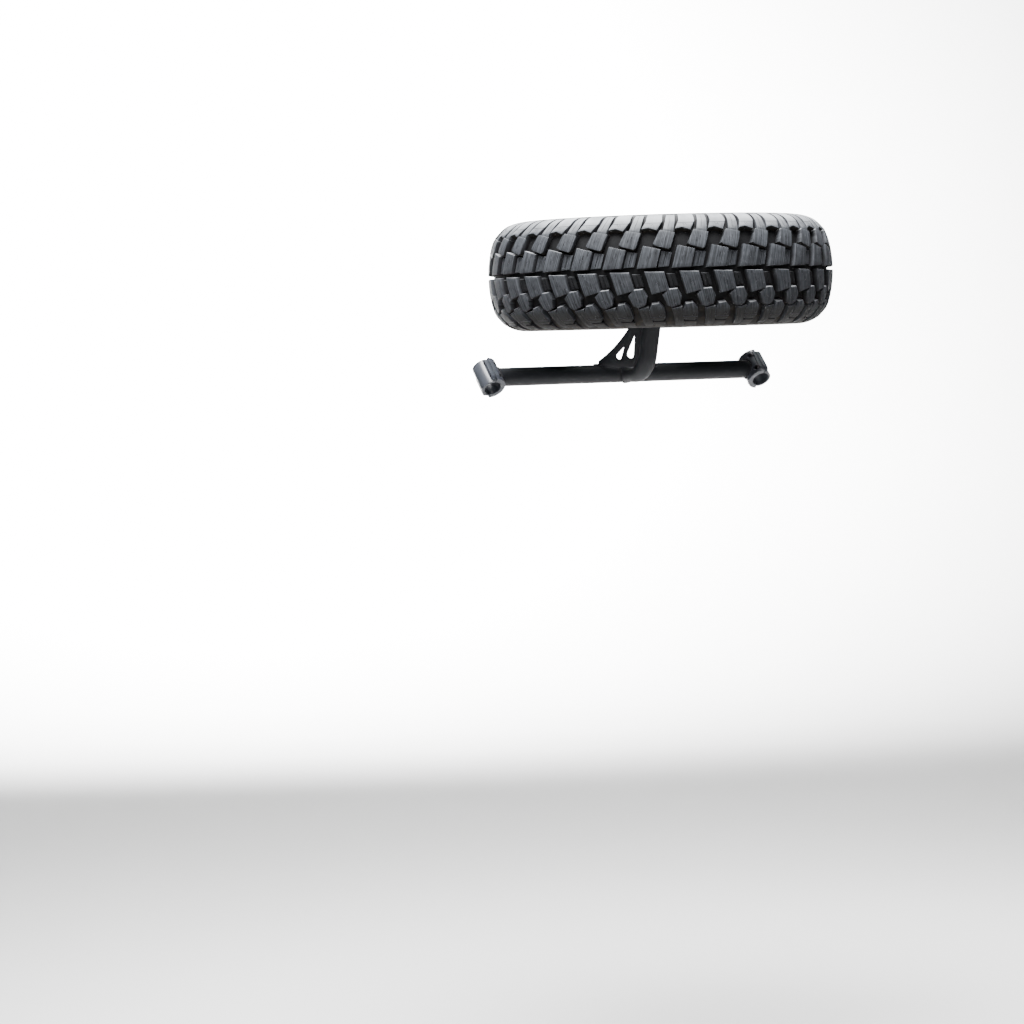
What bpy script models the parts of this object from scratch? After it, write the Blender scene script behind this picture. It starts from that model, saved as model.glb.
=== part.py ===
"""Spare tyre carrier for the rear cage of an off-road buggy.

A straight tube spans the two sloping rear legs of the cage and is clamped to them. A bent tube
rises from its middle, leans rearward and ends in a round plate with four wheel studs. The spare
wheel lies flat on that plate, above and behind the crossbar, and four lug nuts hold it.

Metres, +Z up, +X along the crossbar, +Y towards the front of the vehicle. The origin is the
middle of the crossbar's axis, halfway between the two clamps.
"""

from math import asin, cos, degrees, pi, radians, sin, sqrt, tan

import bmesh
import bpy
from mathutils import Matrix, Vector

# Clearances
GAP = 0.0003             # between pieces that rest on each other
THREAD_GAP = 0.0003      # between a thread and its hole, on the radius
BOLT_PLAY = 0.0004       # between a shank and its plain hole, on the radius

# Tube stock
TUBE_OD = 0.04445
TUBE_WALL = 0.0032

# Cage legs, which belong to the vehicle, and the clamps that grip them
LEG_SPACING = 0.744      # between the axes of the two legs
LEG_OD = 0.0413
LEG_SLOPE = 46.7         # degrees above level, rising towards the front
CLAMP_LENGTH = 0.070
SADDLE_WALL = 0.0115     # of the half on the crossbar's side
CAP_WALL = 0.0055        # of the outer half
CLAMP_SPLIT = 0.0024     # the slot between the two halves
EAR_RIM = 0.0063         # from a bolt's axis to the outer edge of its ear
EAR_THICK = 0.0105       # from the split plane to an ear's face
EAR_CORNER = 0.014
BOLT_OD = 0.006
BOLT_CLEAR = 0.0065      # from the leg's surface to a bolt's axis
BOLT_PITCH = 0.040       # along the leg
HEAD_OD = 0.010
HEAD_HEIGHT = 0.006
HEAD_POCKET = 0.0064     # radius of the spot face round a head
SOCKET_AF = 0.005
SOCKET_DEPTH = 0.003
CLAMP_SIDES = 36         # facets round a clamp and its bore

# Arm
REACH = 0.183            # the wheel's axis is this far behind the crossbar
PLATE_TOP = 0.272        # height of the mounting face above the crossbar's axis
ARM_LEAN = 16.4          # degrees from upright, rearward
BEND_RADIUS = 0.0635     # on the arm's centre line
PLATE_OD = 0.200
PLATE_THICK = 0.00635
WEB_THICK = 0.005
WEB_FOOT = 0.0745        # from the crossbar's middle to a web's toe, along the crossbar
WEB_UNDER = 0.0072       # the web's lower edge is this far below the crossbar's top
WEB_TOE = 0.0094         # the toe's upper corner is this far above the crossbar's top
WEB_RUN_OUT = 0.037      # the web runs out on the arm this far below the mounting face
WEB_PULL = (0.305, 0.0716)    # the point that the hollow edge is drawn towards: share out, height
WEB_TIP_SHARE = 0.131
# share of the way out and height above the crossbar's top, radius, then the tip's share and height
WEB_WINDOWS = {
    "large": (0.360, 0.0223, 0.0090, 0.316, 0.0710),
    "small": (0.592, 0.0183, 0.0070, 0.502, 0.0425),
}

# Studs and nuts
STUD_COUNT = 4
STUD_CIRCLE = 0.156
STUD_OD = 0.012
STUD_TIP_GAP = 0.0008    # between a stud's tip and the closed end of its nut
STUD_HEAD_OD = 0.021
STUD_HEAD_THICK = 0.005
NUT_AF = 0.019
NUT_HEIGHT = 0.030       # above the cone
NUT_CONE_OD = 0.0195
NUT_CONE_HEIGHT = 0.0065
NUT_CLOSED_END = 0.0035

# Wheel
RIM_SEAT = 0.1905        # radius of the bead seat, a 15 inch rim
RIM_WIDTH = 0.1778       # between the flanges, 7 inch
RIM_FLANGE = 0.0173      # height of a flange above the bead seat
RIM_LIP = 0.0111         # thickness of a flange along the axis
RIM_WALL = 0.0055
RIM_DROP = 0.0225        # depth of the drop centre below the bead seat
WHEEL_OFFSET = 0.038     # from the wheel's mid-plane up to its mounting face
DISC_THICK = 0.014
BORE_INSIDE = 0.0225     # from the stud circle in to the centre bore
LUG_HOLE_OD = 0.0148
WINDOW_COUNT = 8
WINDOW_INSIDE = 0.034    # from the stud circle out to a window
WINDOW_OUTSIDE = 0.025   # from a window out to the barrel
WINDOW_CORNER = 0.009
WINDOW_NARROW = 0.80     # width of a window's inner end over its middle
WINDOW_ANGLE = 27.0      # degrees across

# Tyre
TYRE_RADIUS = 0.4064     # over the lugs
TYRE_WIDTH = 0.257
LUG_COUNT = 32
LUG_HEIGHT = 0.011
LUG_SHARE = 0.66         # of the pitch, the rest is groove
LUG_SWEEP = 1.5          # pitches that a lug runs forward from the middle to the shoulder
CENTRE_GROOVE = 0.009
CROWN_DROP = 0.0158      # from the middle of the tread to the start of the shoulder
SHOULDER_DROP = 0.034    # to the shoulder's corner
BEAD_GAP = 0.0004

# Valve
VALVE_HOLE = 0.0115
VALVE_TILT = 25.0        # degrees that the stem leans outboard
VALVE_RISE = 0.0055      # height of the hole above the disc's outer face

TUBE_R = TUBE_OD / 2
LEG_R = LEG_OD / 2
SADDLE_R = LEG_R + SADDLE_WALL
CAP_R = LEG_R + CAP_WALL
BOLT_OFFSET = LEG_R + BOLT_CLEAR
EAR_REACH = BOLT_OFFSET + EAR_RIM
WHEEL_Z = PLATE_TOP + GAP - WHEEL_OFFSET
STUD_LENGTH = GAP + DISC_THICK + NUT_HEIGHT - NUT_CLOSED_END - STUD_TIP_GAP
CENTRE_BORE = STUD_CIRCLE - 2 * BORE_INSIDE
WINDOW_INNER = STUD_CIRCLE / 2 + WINDOW_INSIDE
WINDOW_OUTER = RIM_SEAT - RIM_WALL - WINDOW_OUTSIDE
VALVE_SPOT = WHEEL_OFFSET + DISC_THICK + VALVE_RISE
WEB_BOTTOM = TUBE_R - WEB_UNDER
WEB_TOE_TOP = TUBE_R + WEB_TOE
WEB_TOP = PLATE_TOP - WEB_RUN_OUT
LEAN = radians(ARM_LEAN)
CORNER_Y = -REACH + tan(LEAN) * PLATE_TOP   # where the arm's upper axis would meet level z = 0
UP_ARM = Vector((0, -sin(LEAN), cos(LEAN)))


# ---------------------------------------------------------------- materials and objects

def material(name, colour, roughness, metallic):
    made = bpy.data.materials.new(name)
    made.use_nodes = True
    shader = made.node_tree.nodes["Principled BSDF"]
    shader.inputs["Base Color"].default_value = (*colour, 1)
    shader.inputs["Roughness"].default_value = roughness
    shader.inputs["Metallic"].default_value = metallic
    return made


def clear_scene():
    for old in list(bpy.data.objects):
        bpy.data.objects.remove(old, do_unlink=True)


def empty(name, location=(0, 0, 0), rotation=(0, 0, 0)):
    made = bpy.data.objects.new(name, None)
    made.location = location
    made.rotation_euler = rotation
    bpy.context.scene.collection.objects.link(made)
    return made


def add(name, bm, finish=None, parent=None, location=(0, 0, 0), rotation=(0, 0, 0)):
    """An object from a bmesh. With no finish it is a cutter, which is hidden."""
    bmesh.ops.remove_doubles(bm, verts=bm.verts, dist=1e-6)
    bmesh.ops.recalc_face_normals(bm, faces=bm.faces)
    mesh = bpy.data.meshes.new(name)
    bm.to_mesh(mesh)
    bm.free()
    mesh.shade_smooth()
    mesh.set_sharp_from_angle(angle=radians(35))
    made = bpy.data.objects.new(name, mesh)
    made.location = location
    made.rotation_euler = rotation
    made.parent = parent
    bpy.context.scene.collection.objects.link(made)
    if finish is None:
        made.hide_render = True
        made.display_type = "WIRE"
    else:
        mesh.materials.append(finish)
    return made


def shape_with(target, operation, *others):
    for other in others:
        step = target.modifiers.new(other.name, "BOOLEAN")
        step.operation = operation
        step.object = other


def cut(target, *cutters):
    shape_with(target, "DIFFERENCE", *cutters)


def join(target, *others):
    shape_with(target, "UNION", *others)


# ---------------------------------------------------------------- shapes

def turned(profile, sides):
    """Turns (radius, height) points about Z. A profile that doesn't end on the axis is a closed loop.

    A flat end becomes one face.
    """
    bm = bmesh.new()
    points = [bm.verts.new((r, 0, z)) for r, z in profile]
    edges = [bm.edges.new(pair) for pair in zip(points, points[1:])]
    if profile[0][0] > 0:
        edges.append(bm.edges.new((points[-1], points[0])))
    bmesh.ops.spin(
        bm, geom=points + edges, axis=(0, 0, 1), cent=(0, 0, 0), angle=2 * pi, steps=sides
    )
    bmesh.ops.remove_doubles(bm, verts=bm.verts, dist=1e-6)
    poles = [vert for vert in bm.verts if vert.co.xy.length < 1e-6]
    bmesh.ops.dissolve_verts(bm, verts=poles)
    return bm


def rod(radius, low, high, sides=32):
    return turned([(0, low), (radius, low), (radius, high), (0, high)], sides)


def prism(outline, low, high, frame=Matrix()):
    """Extrudes an outline in the XY plane of the frame from height low to height high."""
    bm = bmesh.new()
    base = bm.faces.new([bm.verts.new((x, y, low)) for x, y in outline])
    grown = bmesh.ops.extrude_face_region(bm, geom=[base])["geom"]
    top = [part for part in grown if isinstance(part, bmesh.types.BMVert)]
    bmesh.ops.translate(bm, verts=top, vec=(0, 0, high - low))
    bmesh.ops.transform(bm, matrix=frame, verts=bm.verts)
    return bm


def arc(cx, cy, radius, start, end, steps):
    """Points on a circle, angles in degrees."""
    turn = [radians(start + (end - start) * i / steps) for i in range(steps + 1)]
    return [(cx + radius * cos(a), cy + radius * sin(a)) for a in turn]


def rounded_rectangle(half_x, half_y, corner, steps=4):
    points = []
    for i, (sx, sy) in enumerate([(1, 1), (-1, 1), (-1, -1), (1, -1)]):
        x, y = sx * (half_x - corner), sy * (half_y - corner)
        points += arc(x, y, corner, 90 * i, 90 * i + 90, steps)
    return points


def teardrop(cx, cy, radius, tip_x, tip_y, steps=10):
    """A circle drawn out to a tip."""
    dx, dy = tip_x - cx, tip_y - cy
    away = sqrt(dx * dx + dy * dy)
    heading = degrees(Vector((1, 0)).angle_signed(Vector((dx, dy)))) * -1
    half = 90 - degrees(asin(radius / away))
    return [(tip_x, tip_y)] + arc(cx, cy, radius, heading + half, heading + 360 - half, steps)


def swept(centres, radii, sides=24):
    """A rod, or with two radii a tube, along points in the YZ plane, square at both ends."""
    bm = bmesh.new()
    skins = []
    for radius in radii:
        rings = []
        for i, here in enumerate(centres):
            before, after = centres[max(i - 1, 0)], centres[min(i + 1, len(centres) - 1)]
            along = (after - before).normalized()
            side = Vector((1, 0, 0))
            up = side.cross(along)
            spokes = [cos(2 * pi * k / sides) * side + sin(2 * pi * k / sides) * up for k in range(sides)]
            rings.append([bm.verts.new(here + radius * spoke) for spoke in spokes])
        for low, high in zip(rings, rings[1:]):
            loft(bm, low, high)
        skins.append(rings)
    for end in (0, -1):
        if len(skins) == 2:
            loft(bm, skins[0][end], skins[1][end])
        else:
            bm.faces.new(skins[0][end])
    return bm


def loft(bm, low, high):
    """Quads between two closed rings of points."""
    for k in range(len(low)):
        after = (k + 1) % len(low)
        bm.faces.new((low[k], low[after], high[after], high[k]))


# ---------------------------------------------------------------- crossbar and clamps

def clamp_frame(side):
    """An empty on a leg's axis: its Z runs up the leg, its X along the crossbar."""
    name = "left_leg_axis" if side < 0 else "right_leg_axis"
    return empty(name, (side * LEG_SPACING / 2, 0, 0), (radians(LEG_SLOPE - 90), 0, 0))


def add_crossbar(steel, frames):
    half = LEG_SPACING / 2
    inner = TUBE_R - TUBE_WALL
    profile = [(TUBE_R, -half), (TUBE_R, half), (inner, half), (inner, -half)]
    bar = add("crossbar_tube", turned(profile, 48), steel, rotation=(0, pi / 2, 0))
    for side, frame in frames.items():
        cope = rod(SADDLE_R + GAP, -CLAMP_LENGTH, CLAMP_LENGTH, CLAMP_SIDES)
        cut(bar, add(f"cope_{side}", cope, parent=frame))


def bolt_places():
    """(name, y, z) of each bolt in a clamp's frame. -y is the upper ear, which faces rearward."""
    for ear, y in (("rear", -BOLT_OFFSET), ("front", BOLT_OFFSET)):
        for end, z in (("upper", BOLT_PITCH / 2), ("lower", -BOLT_PITCH / 2)):
            yield f"{ear}_{end}", y, z


def add_clamp_half(name, steel, frame, facing, radius, bore, holes):
    """facing is +1 for the half on the +X side of the split and -1 for the other."""
    half = CLAMP_LENGTH / 2
    body = add(name, rod(radius, -half, half, CLAMP_SIDES), steel, parent=frame)
    ear_turn = Matrix(((0, 0, 1, 0), (1, 0, 0, 0), (0, 1, 0, 0), (0, 0, 0, 1)))
    outline = rounded_rectangle(EAR_REACH, half, EAR_CORNER)
    ears = add(f"{name}_ears", prism(outline, -EAR_THICK, EAR_THICK, ear_turn), parent=frame)
    box = [(-1, -1), (1, -1), (1, 1), (-1, 1)]
    span = 2 * EAR_REACH
    other = [(facing * (x * span - span + CLAMP_SPLIT / 2), y * span) for x, y in box]
    away = add(f"{name}_split", prism(other, -CLAMP_LENGTH, CLAMP_LENGTH), parent=frame)
    join(body, ears)
    cut(body, bore, away, *holes)


def add_clamp(side, steel, zinc, frame):
    """The saddle is on the crossbar's side of the leg and carries the bolt heads."""
    word = "left" if side < 0 else "right"
    inward = -side
    turn = (0, inward * pi / 2, 0)
    leg = rod(LEG_R, -CLAMP_LENGTH, CLAMP_LENGTH, CLAMP_SIDES)
    bore = add(f"{word}_leg_bore", leg, parent=frame)
    shank = 2 * EAR_THICK - 0.001
    hole_r = BOLT_OD / 2 + BOLT_PLAY
    stepped = [
        (0, -3 * EAR_THICK), (hole_r, -3 * EAR_THICK), (hole_r, 0),
        (HEAD_POCKET, 0), (HEAD_POCKET, 3 * EAR_THICK), (0, 3 * EAR_THICK),
    ]
    bevel = 0.0006
    head_r = HEAD_OD / 2
    bolt = [
        (0, -shank), (BOLT_OD / 2, -shank), (BOLT_OD / 2, 0), (head_r, 0),
        (head_r, HEAD_HEIGHT - bevel), (head_r - bevel, HEAD_HEIGHT), (0, HEAD_HEIGHT),
    ]
    socket_r = SOCKET_AF / sqrt(3)
    holes = []
    for place, y, z in bolt_places():
        face = (inward * EAR_THICK, y, z)
        seat = (inward * (EAR_THICK + GAP), y, z)
        holes.append(add(f"{word}_hole_{place}", turned(stepped, 16), None, frame, face, turn))
        screw = add(f"{word}_clamp_bolt_{place}", turned(bolt, 16), zinc, frame, seat, turn)
        socket = turned(
            [(0, HEAD_HEIGHT - SOCKET_DEPTH), (socket_r, HEAD_HEIGHT - SOCKET_DEPTH),
             (socket_r, 2 * HEAD_HEIGHT), (0, 2 * HEAD_HEIGHT)], 6)
        cut(screw, add(f"{word}_socket_{place}", socket, None, frame, seat, turn))
    add_clamp_half(f"{word}_clamp_saddle", steel, frame, inward, SADDLE_R, bore, holes)
    add_clamp_half(f"{word}_clamp_cap", steel, frame, side, CAP_R, bore, holes)


# ---------------------------------------------------------------- arm, webs and plate

def arm_centres(top):
    """The arm's centre line: level out of the crossbar, one bend, then straight up to height top."""
    turn = pi / 2 - LEAN
    start = CORNER_Y + BEND_RADIUS * tan(turn / 2)
    centres = [Vector((0, 0, 0)), Vector((0, start, 0))]
    steps = 9
    for i in range(1, steps + 1):
        a = turn * i / steps
        centres.append(Vector((0, start - BEND_RADIUS * sin(a), BEND_RADIUS * (1 - cos(a)))))
    centres.append(Vector((0, CORNER_Y, 0)) + UP_ARM * (top / cos(LEAN)))
    return centres


def add_arm(steel):
    under_plate = PLATE_TOP - PLATE_THICK - GAP
    centres = arm_centres(under_plate + TUBE_OD)
    arm = add("arm_tube", swept(centres, (TUBE_R, TUBE_R - TUBE_WALL)), steel)
    bar = add("bar_cope", rod(TUBE_R + GAP, -TUBE_OD, TUBE_OD, 48), rotation=(0, pi / 2, 0))
    big = TUBE_OD
    square = [(-big, -big), (big, -big), (big, big), (-big, big)]
    above = prism(square, under_plate, under_plate + 2 * big)
    top = add("arm_top_cut", above, location=(0, -REACH, 0))
    inside = add("arm_front_cut", prism(square, -big, big), location=(0, big, 0))
    cut(arm, bar, top, inside)


def web_frame(side):
    """The plane through the arm's upper axis and a toe on the crossbar, as a matrix and its skew."""
    corner = Vector((0, CORNER_Y, 0))
    run = Vector((side * WEB_FOOT, 0, 0)) - corner
    skew = run.dot(UP_ARM)
    out = run - skew * UP_ARM
    width = out.length
    out.normalize()
    face = out.cross(UP_ARM)
    frame = Matrix((out, UP_ARM, face)).transposed().to_4x4()
    frame.translation = corner
    return frame, width, skew


def web_point(share, height, width, skew):
    """share is 0 on the arm's axis and 1 at the toe."""
    return (share * width, height / cos(LEAN) + share * skew)


def web_outline():
    """(share, height) round a web: its toe, a hollow edge up to the arm, and the arm's axis."""
    start = Vector((1, WEB_TOE_TOP))
    pull = Vector((WEB_PULL[0], TUBE_R + WEB_PULL[1]))
    end = Vector((WEB_TIP_SHARE, WEB_TOP))
    steps = 12
    edge = []
    for i in range(steps + 1):
        t = i / steps
        point = (1 - t) ** 2 * start + 2 * t * (1 - t) * pull + t * t * end
        edge.append((point.x, point.y))
    return [(0, WEB_BOTTOM), (1, WEB_BOTTOM)] + edge + [(0, WEB_TOP)]


def add_web(side, steel):
    """A flat web that braces the arm sideways. Two drop-shaped windows lighten it."""
    word = "left" if side < 0 else "right"
    frame, width, skew = web_frame(side)
    half = WEB_THICK / 2
    outline = [web_point(share, height, width, skew) for share, height in web_outline()]
    web = add(f"{word}_arm_web", prism(outline, -half, half, frame), steel)
    for size, (share, height, radius, tip_share, tip_height) in WEB_WINDOWS.items():
        centre = web_point(share, TUBE_R + height, width, skew)
        tip = web_point(tip_share, TUBE_R + tip_height, width, skew)
        drop = prism(teardrop(*centre, radius, *tip), -3 * half, 3 * half, frame)
        cut(web, add(f"{word}_{size}_window", drop))
    along = rod(TUBE_R + GAP, -LEG_SPACING, LEG_SPACING, 48)
    bar = add(f"{word}_web_cope", along, rotation=(0, pi / 2, 0))
    tube = add(f"{word}_web_arm", swept(arm_centres(PLATE_TOP), (TUBE_R + GAP,)))
    cut(web, bar, tube)


def stud_places():
    for i in range(STUD_COUNT):
        a = 2 * pi * (i + 0.5) / STUD_COUNT
        yield i + 1, STUD_CIRCLE / 2 * cos(a), STUD_CIRCLE / 2 * sin(a)


def add_plate(steel, zinc, axis):
    """The plate and the studs pressed through it. Heights are above the mounting face."""
    edge = 0.001
    r = PLATE_OD / 2
    profile = [
        (0, -PLATE_THICK), (r - edge, -PLATE_THICK), (r, edge - PLATE_THICK), (r, -edge),
        (r - edge, 0), (0, 0),
    ]
    plate = add("mount_plate", turned(profile, 64), steel, axis)
    r = STUD_OD / 2
    bevel = 0.001
    under = -PLATE_THICK - GAP
    head = STUD_HEAD_OD / 2
    foot = under - STUD_HEAD_THICK
    stud = [
        (0, foot), (head, foot), (head, under), (r, under), (r, STUD_LENGTH - bevel),
        (r - bevel, STUD_LENGTH), (0, STUD_LENGTH),
    ]
    for number, x, y in stud_places():
        hole = rod(r + GAP, -2 * PLATE_THICK, PLATE_THICK, 24)
        cut(plate, add(f"plate_hole_{number}", hole, None, axis, (x, y, 0)))
        add(f"wheel_stud_{number}", turned(stud, 24), zinc, axis, (x, y, 0))


# ---------------------------------------------------------------- wheel

def rim_profile():
    """(radius, height above the mid-plane) round the section of the rim and its disc."""
    seat, flange, half = RIM_SEAT, RIM_SEAT + RIM_FLANGE, RIM_WIDTH / 2
    well = seat - RIM_DROP
    lip = half + RIM_LIP
    inner = seat - RIM_WALL
    face, top = WHEEL_OFFSET, WHEEL_OFFSET + DISC_THICK
    bore = CENTRE_BORE / 2
    round_lip = 0.0035
    return [
        (inner, -lip), (flange - round_lip, -lip), (flange, round_lip - lip),
        (flange - round_lip, -half), (seat, -half), (seat - 0.001, 0.021 - half), (well, 0.040 - half),
        (well, -0.018), (seat - 0.003, 0.030), (seat - 0.001, half - 0.021), (seat, half),
        (flange - round_lip, half), (flange, lip - round_lip), (flange - round_lip, lip), (inner, lip),
        (inner - 0.0005, top + 0.0055), (inner - 0.0125, top), (bore, top),
        (bore, face), (inner - 0.022, face), (inner - 0.0145, face - 0.006),
        (well - RIM_WALL, -0.020), (well - RIM_WALL, 0.042 - half), (inner - 0.001, 0.019 - half),
    ]


def add_rim(alloy, axis):
    rim = add("wheel_rim", turned(rim_profile(), 56), alloy, axis)
    mid = (WINDOW_INNER + WINDOW_OUTER) / 2
    half_long = (WINDOW_OUTER - WINDOW_INNER) / 2
    for i in range(WINDOW_COUNT):
        centre = 2 * pi * (i + 0.5) / WINDOW_COUNT
        half_wide = mid * sin(radians(WINDOW_ANGLE / 2))
        outline = []
        for x, y in rounded_rectangle(half_long, half_wide, WINDOW_CORNER, 3):
            outline.append((mid + x, y * (1 + x / half_long * (1 - WINDOW_NARROW))))
        window = prism(outline, WHEEL_OFFSET - DISC_THICK, WHEEL_OFFSET + 2 * DISC_THICK)
        cut(rim, add(f"window_{i}", window, None, axis, rotation=(0, 0, centre)))
    seat_top = WHEEL_OFFSET + DISC_THICK
    hole_r = LUG_HOLE_OD / 2
    cone_r = NUT_CONE_OD / 2 + GAP
    flare = 0.004
    lug = [
        (0, 0), (hole_r, 0), (hole_r, seat_top - (cone_r - hole_r) * sqrt(3)), (cone_r, seat_top),
        (cone_r + flare, seat_top), (cone_r + flare, seat_top + DISC_THICK), (0, seat_top + DISC_THICK),
    ]
    for number, x, y in stud_places():
        cut(rim, add(f"lug_hole_{number}", turned(lug, 24), None, axis, (x, y, 0)))
    return rim


def lug_nut_profiles():
    """The hexagon's envelope, the cone and the bore, with height 0 at the disc's face."""
    corner = NUT_AF / sqrt(3)
    chamfer = 0.0016
    hexagon = [(0, 0.0004), (corner, 0.0004), (corner, NUT_HEIGHT), (0, NUT_HEIGHT)]
    flat = NUT_AF / 2
    envelope = [
        (0, -0.001), (flat, -0.001), (corner + 0.001, chamfer),
        (corner + 0.001, NUT_HEIGHT - 3 * chamfer),
        (flat - chamfer, NUT_HEIGHT - chamfer / 2), (0, NUT_HEIGHT),
    ]
    cone_r = NUT_CONE_OD / 2
    tip_r = cone_r - NUT_CONE_HEIGHT / sqrt(3)
    cone = [(0, -NUT_CONE_HEIGHT), (tip_r, -NUT_CONE_HEIGHT), (cone_r, 0), (cone_r, 0.002), (0, 0.002)]
    bore_r = STUD_OD / 2 + THREAD_GAP
    top = NUT_HEIGHT - NUT_CLOSED_END
    bore = [(0, -2 * NUT_CONE_HEIGHT), (bore_r, -2 * NUT_CONE_HEIGHT), (bore_r, top), (0, top)]
    return hexagon, envelope, cone, bore


def add_lug_nuts(zinc, axis):
    hexagon, envelope, cone, bore = lug_nut_profiles()
    height = WHEEL_OFFSET + DISC_THICK
    for number, x, y in stud_places():
        place = (x, y, height)
        nut = add(f"lug_nut_{number}", turned(hexagon, 6), zinc, axis, place)
        shape_with(nut, "INTERSECT", add(f"nut_envelope_{number}", turned(envelope, 24), None, axis, place))
        join(nut, add(f"nut_cone_{number}", turned(cone, 24), None, axis, place))
        cut(nut, add(f"nut_bore_{number}", turned(bore, 20), None, axis, place))


def add_centre_cap(plastic, axis):
    """A push-in cap with a rim that rests on the disc and a skirt inside the centre bore."""
    top = WHEEL_OFFSET + DISC_THICK
    bore = CENTRE_BORE / 2
    wall = 0.0025
    profile = [
        (0, top + 0.010), (bore - 0.010, top + 0.010), (bore - 0.002, top + 0.006), (bore + 0.004, top + 0.003),
        (bore + 0.004, top + GAP), (bore - GAP, top + GAP), (bore - GAP, WHEEL_OFFSET + 0.003),
        (bore - wall, WHEEL_OFFSET + 0.003), (bore - wall, top + 0.002), (bore - 0.011, top + 0.0072),
        (0, top + 0.0072),
    ]
    add("centre_cap", turned(profile, 48), plastic, axis)


def add_valve(rubber, brass, plastic, rim, axis):
    """The stem's own axis points from the rim wall towards the wheel's axis and outboard."""
    wall = RIM_SEAT - 0.001
    location = (-wall + RIM_WALL / 2, 0, VALVE_SPOT)
    rotation = (0, radians(90 - VALVE_TILT), 0)
    reach = RIM_WALL
    hole = add("valve_hole", rod(VALVE_HOLE / 2, -3 * reach, 3 * reach, 32), None, axis, location, rotation)
    cut(rim, hole)
    neck = VALVE_HOLE / 2 - GAP
    shoulder, stem_end, thread_r, tip = 0.0075, 0.024, 0.0024, 0.032
    stem = [
        (0, -0.0085), (0.0045, -0.0085), (neck, -0.007), (neck, shoulder), (0.0045, stem_end - 0.003),
        (0.0040, stem_end), (thread_r, stem_end), (thread_r, tip), (0, tip),
    ]
    add("valve_stem", turned(stem, 24), rubber, axis, location, rotation)
    low, high, outer = stem_end + GAP, tip + 0.003, 0.0045
    inner = thread_r + THREAD_GAP
    cap = [
        (inner, low), (outer, low), (outer, high - 0.001), (outer - 0.001, high), (0, high),
        (0, tip + GAP), (inner, tip + GAP),
    ]
    add("valve_cap", turned_open(cap, 24), plastic, axis, location, rotation)


def turned_open(profile, sides):
    """Turns a closed loop that touches the axis along one of its edges."""
    at_axis = [i for i, (r, _) in enumerate(profile) if r == 0]
    start = at_axis[1]
    ordered = profile[start:] + profile[: at_axis[0] + 1]
    return turned(ordered, sides)


# ---------------------------------------------------------------- tyre

def tyre_outer():
    """(radius, height, share of the lug height, pitches of sweep) from the middle to the bead heel."""
    r, w = TYRE_RADIUS, TYRE_WIDTH / 2
    groove = CENTRE_GROOVE / 2
    flange = RIM_SEAT + RIM_FLANGE + BEAD_GAP
    bead = RIM_WIDTH / 2 - BEAD_GAP
    edge, corner = 0.68 * w, 0.856 * w
    tread = []
    for z in (groove + 0.001, edge / 2, edge):
        tread.append((r - CROWN_DROP * (z / edge) ** 2, z, 1.0, LUG_SWEEP * z / corner))
    return [
        (r - LUG_HEIGHT, groove - 0.001, 0.0, 0.0), *tread,
        (r - SHOULDER_DROP, corner, 1.0, LUG_SWEEP), (r - 0.056, w - 0.004, 0.8, LUG_SWEEP),
        (r - 0.085, w, 0.0, LUG_SWEEP), (r - 0.145, w - 0.008, 0.0, LUG_SWEEP),
        (flange + 0.006, bead + 0.0135, 0.0, LUG_SWEEP), (flange, bead + 0.009, 0.0, LUG_SWEEP),
        (flange, bead, 0.0, LUG_SWEEP), (RIM_SEAT + BEAD_GAP, bead, 0.0, LUG_SWEEP),
        (RIM_SEAT + BEAD_GAP, bead - 0.019, 0.0, LUG_SWEEP),
    ]


def tyre_inner():
    r, w = TYRE_RADIUS, TYRE_WIDTH / 2
    return [
        (RIM_SEAT + 0.012, w - 0.058), (RIM_SEAT + 0.060, w - 0.022), (r - 0.090, w - 0.012),
        (r - 0.042, w - 0.045),
    ]


def tyre_section():
    """The whole section as one loop of (radius, height, lug share, sweep)."""
    upper = tyre_outer() + [(r, z, 0.0, LUG_SWEEP) for r, z in tyre_inner()]
    inner_mid = [(TYRE_RADIUS - 0.0265, 0.0, 0.0, LUG_SWEEP)]
    lower = [(r, -z, share, sweep) for r, z, share, sweep in reversed(upper)]
    return upper + inner_mid + lower


def add_tyre(rubber, axis):
    """Lugs are raised columns of one skin. They sweep forward from the middle to each shoulder."""
    section = tyre_section()
    pitch = 2 * pi / LUG_COUNT
    columns = ((0, True), (LUG_SHARE, True), ((1 + LUG_SHARE) / 2, False))
    bm = bmesh.new()
    rings = []
    for r, z, share, sweep in section:
        ring = []
        half_turn = 0.5 if z < 0 else 0.0
        stagger = half_turn * min(1.0, abs(z) / CENTRE_GROOVE) if share else half_turn
        for n in range(LUG_COUNT):
            for place, high in columns:
                a = (n + place + sweep + stagger) * pitch
                radius = r if high else r - share * LUG_HEIGHT
                ring.append(bm.verts.new((radius * cos(a), radius * sin(a), z)))
        rings.append(ring)
    for low, high in zip(rings, rings[1:] + rings[:1]):
        loft(bm, low, high)
    add("tyre", bm, rubber, axis)


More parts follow.
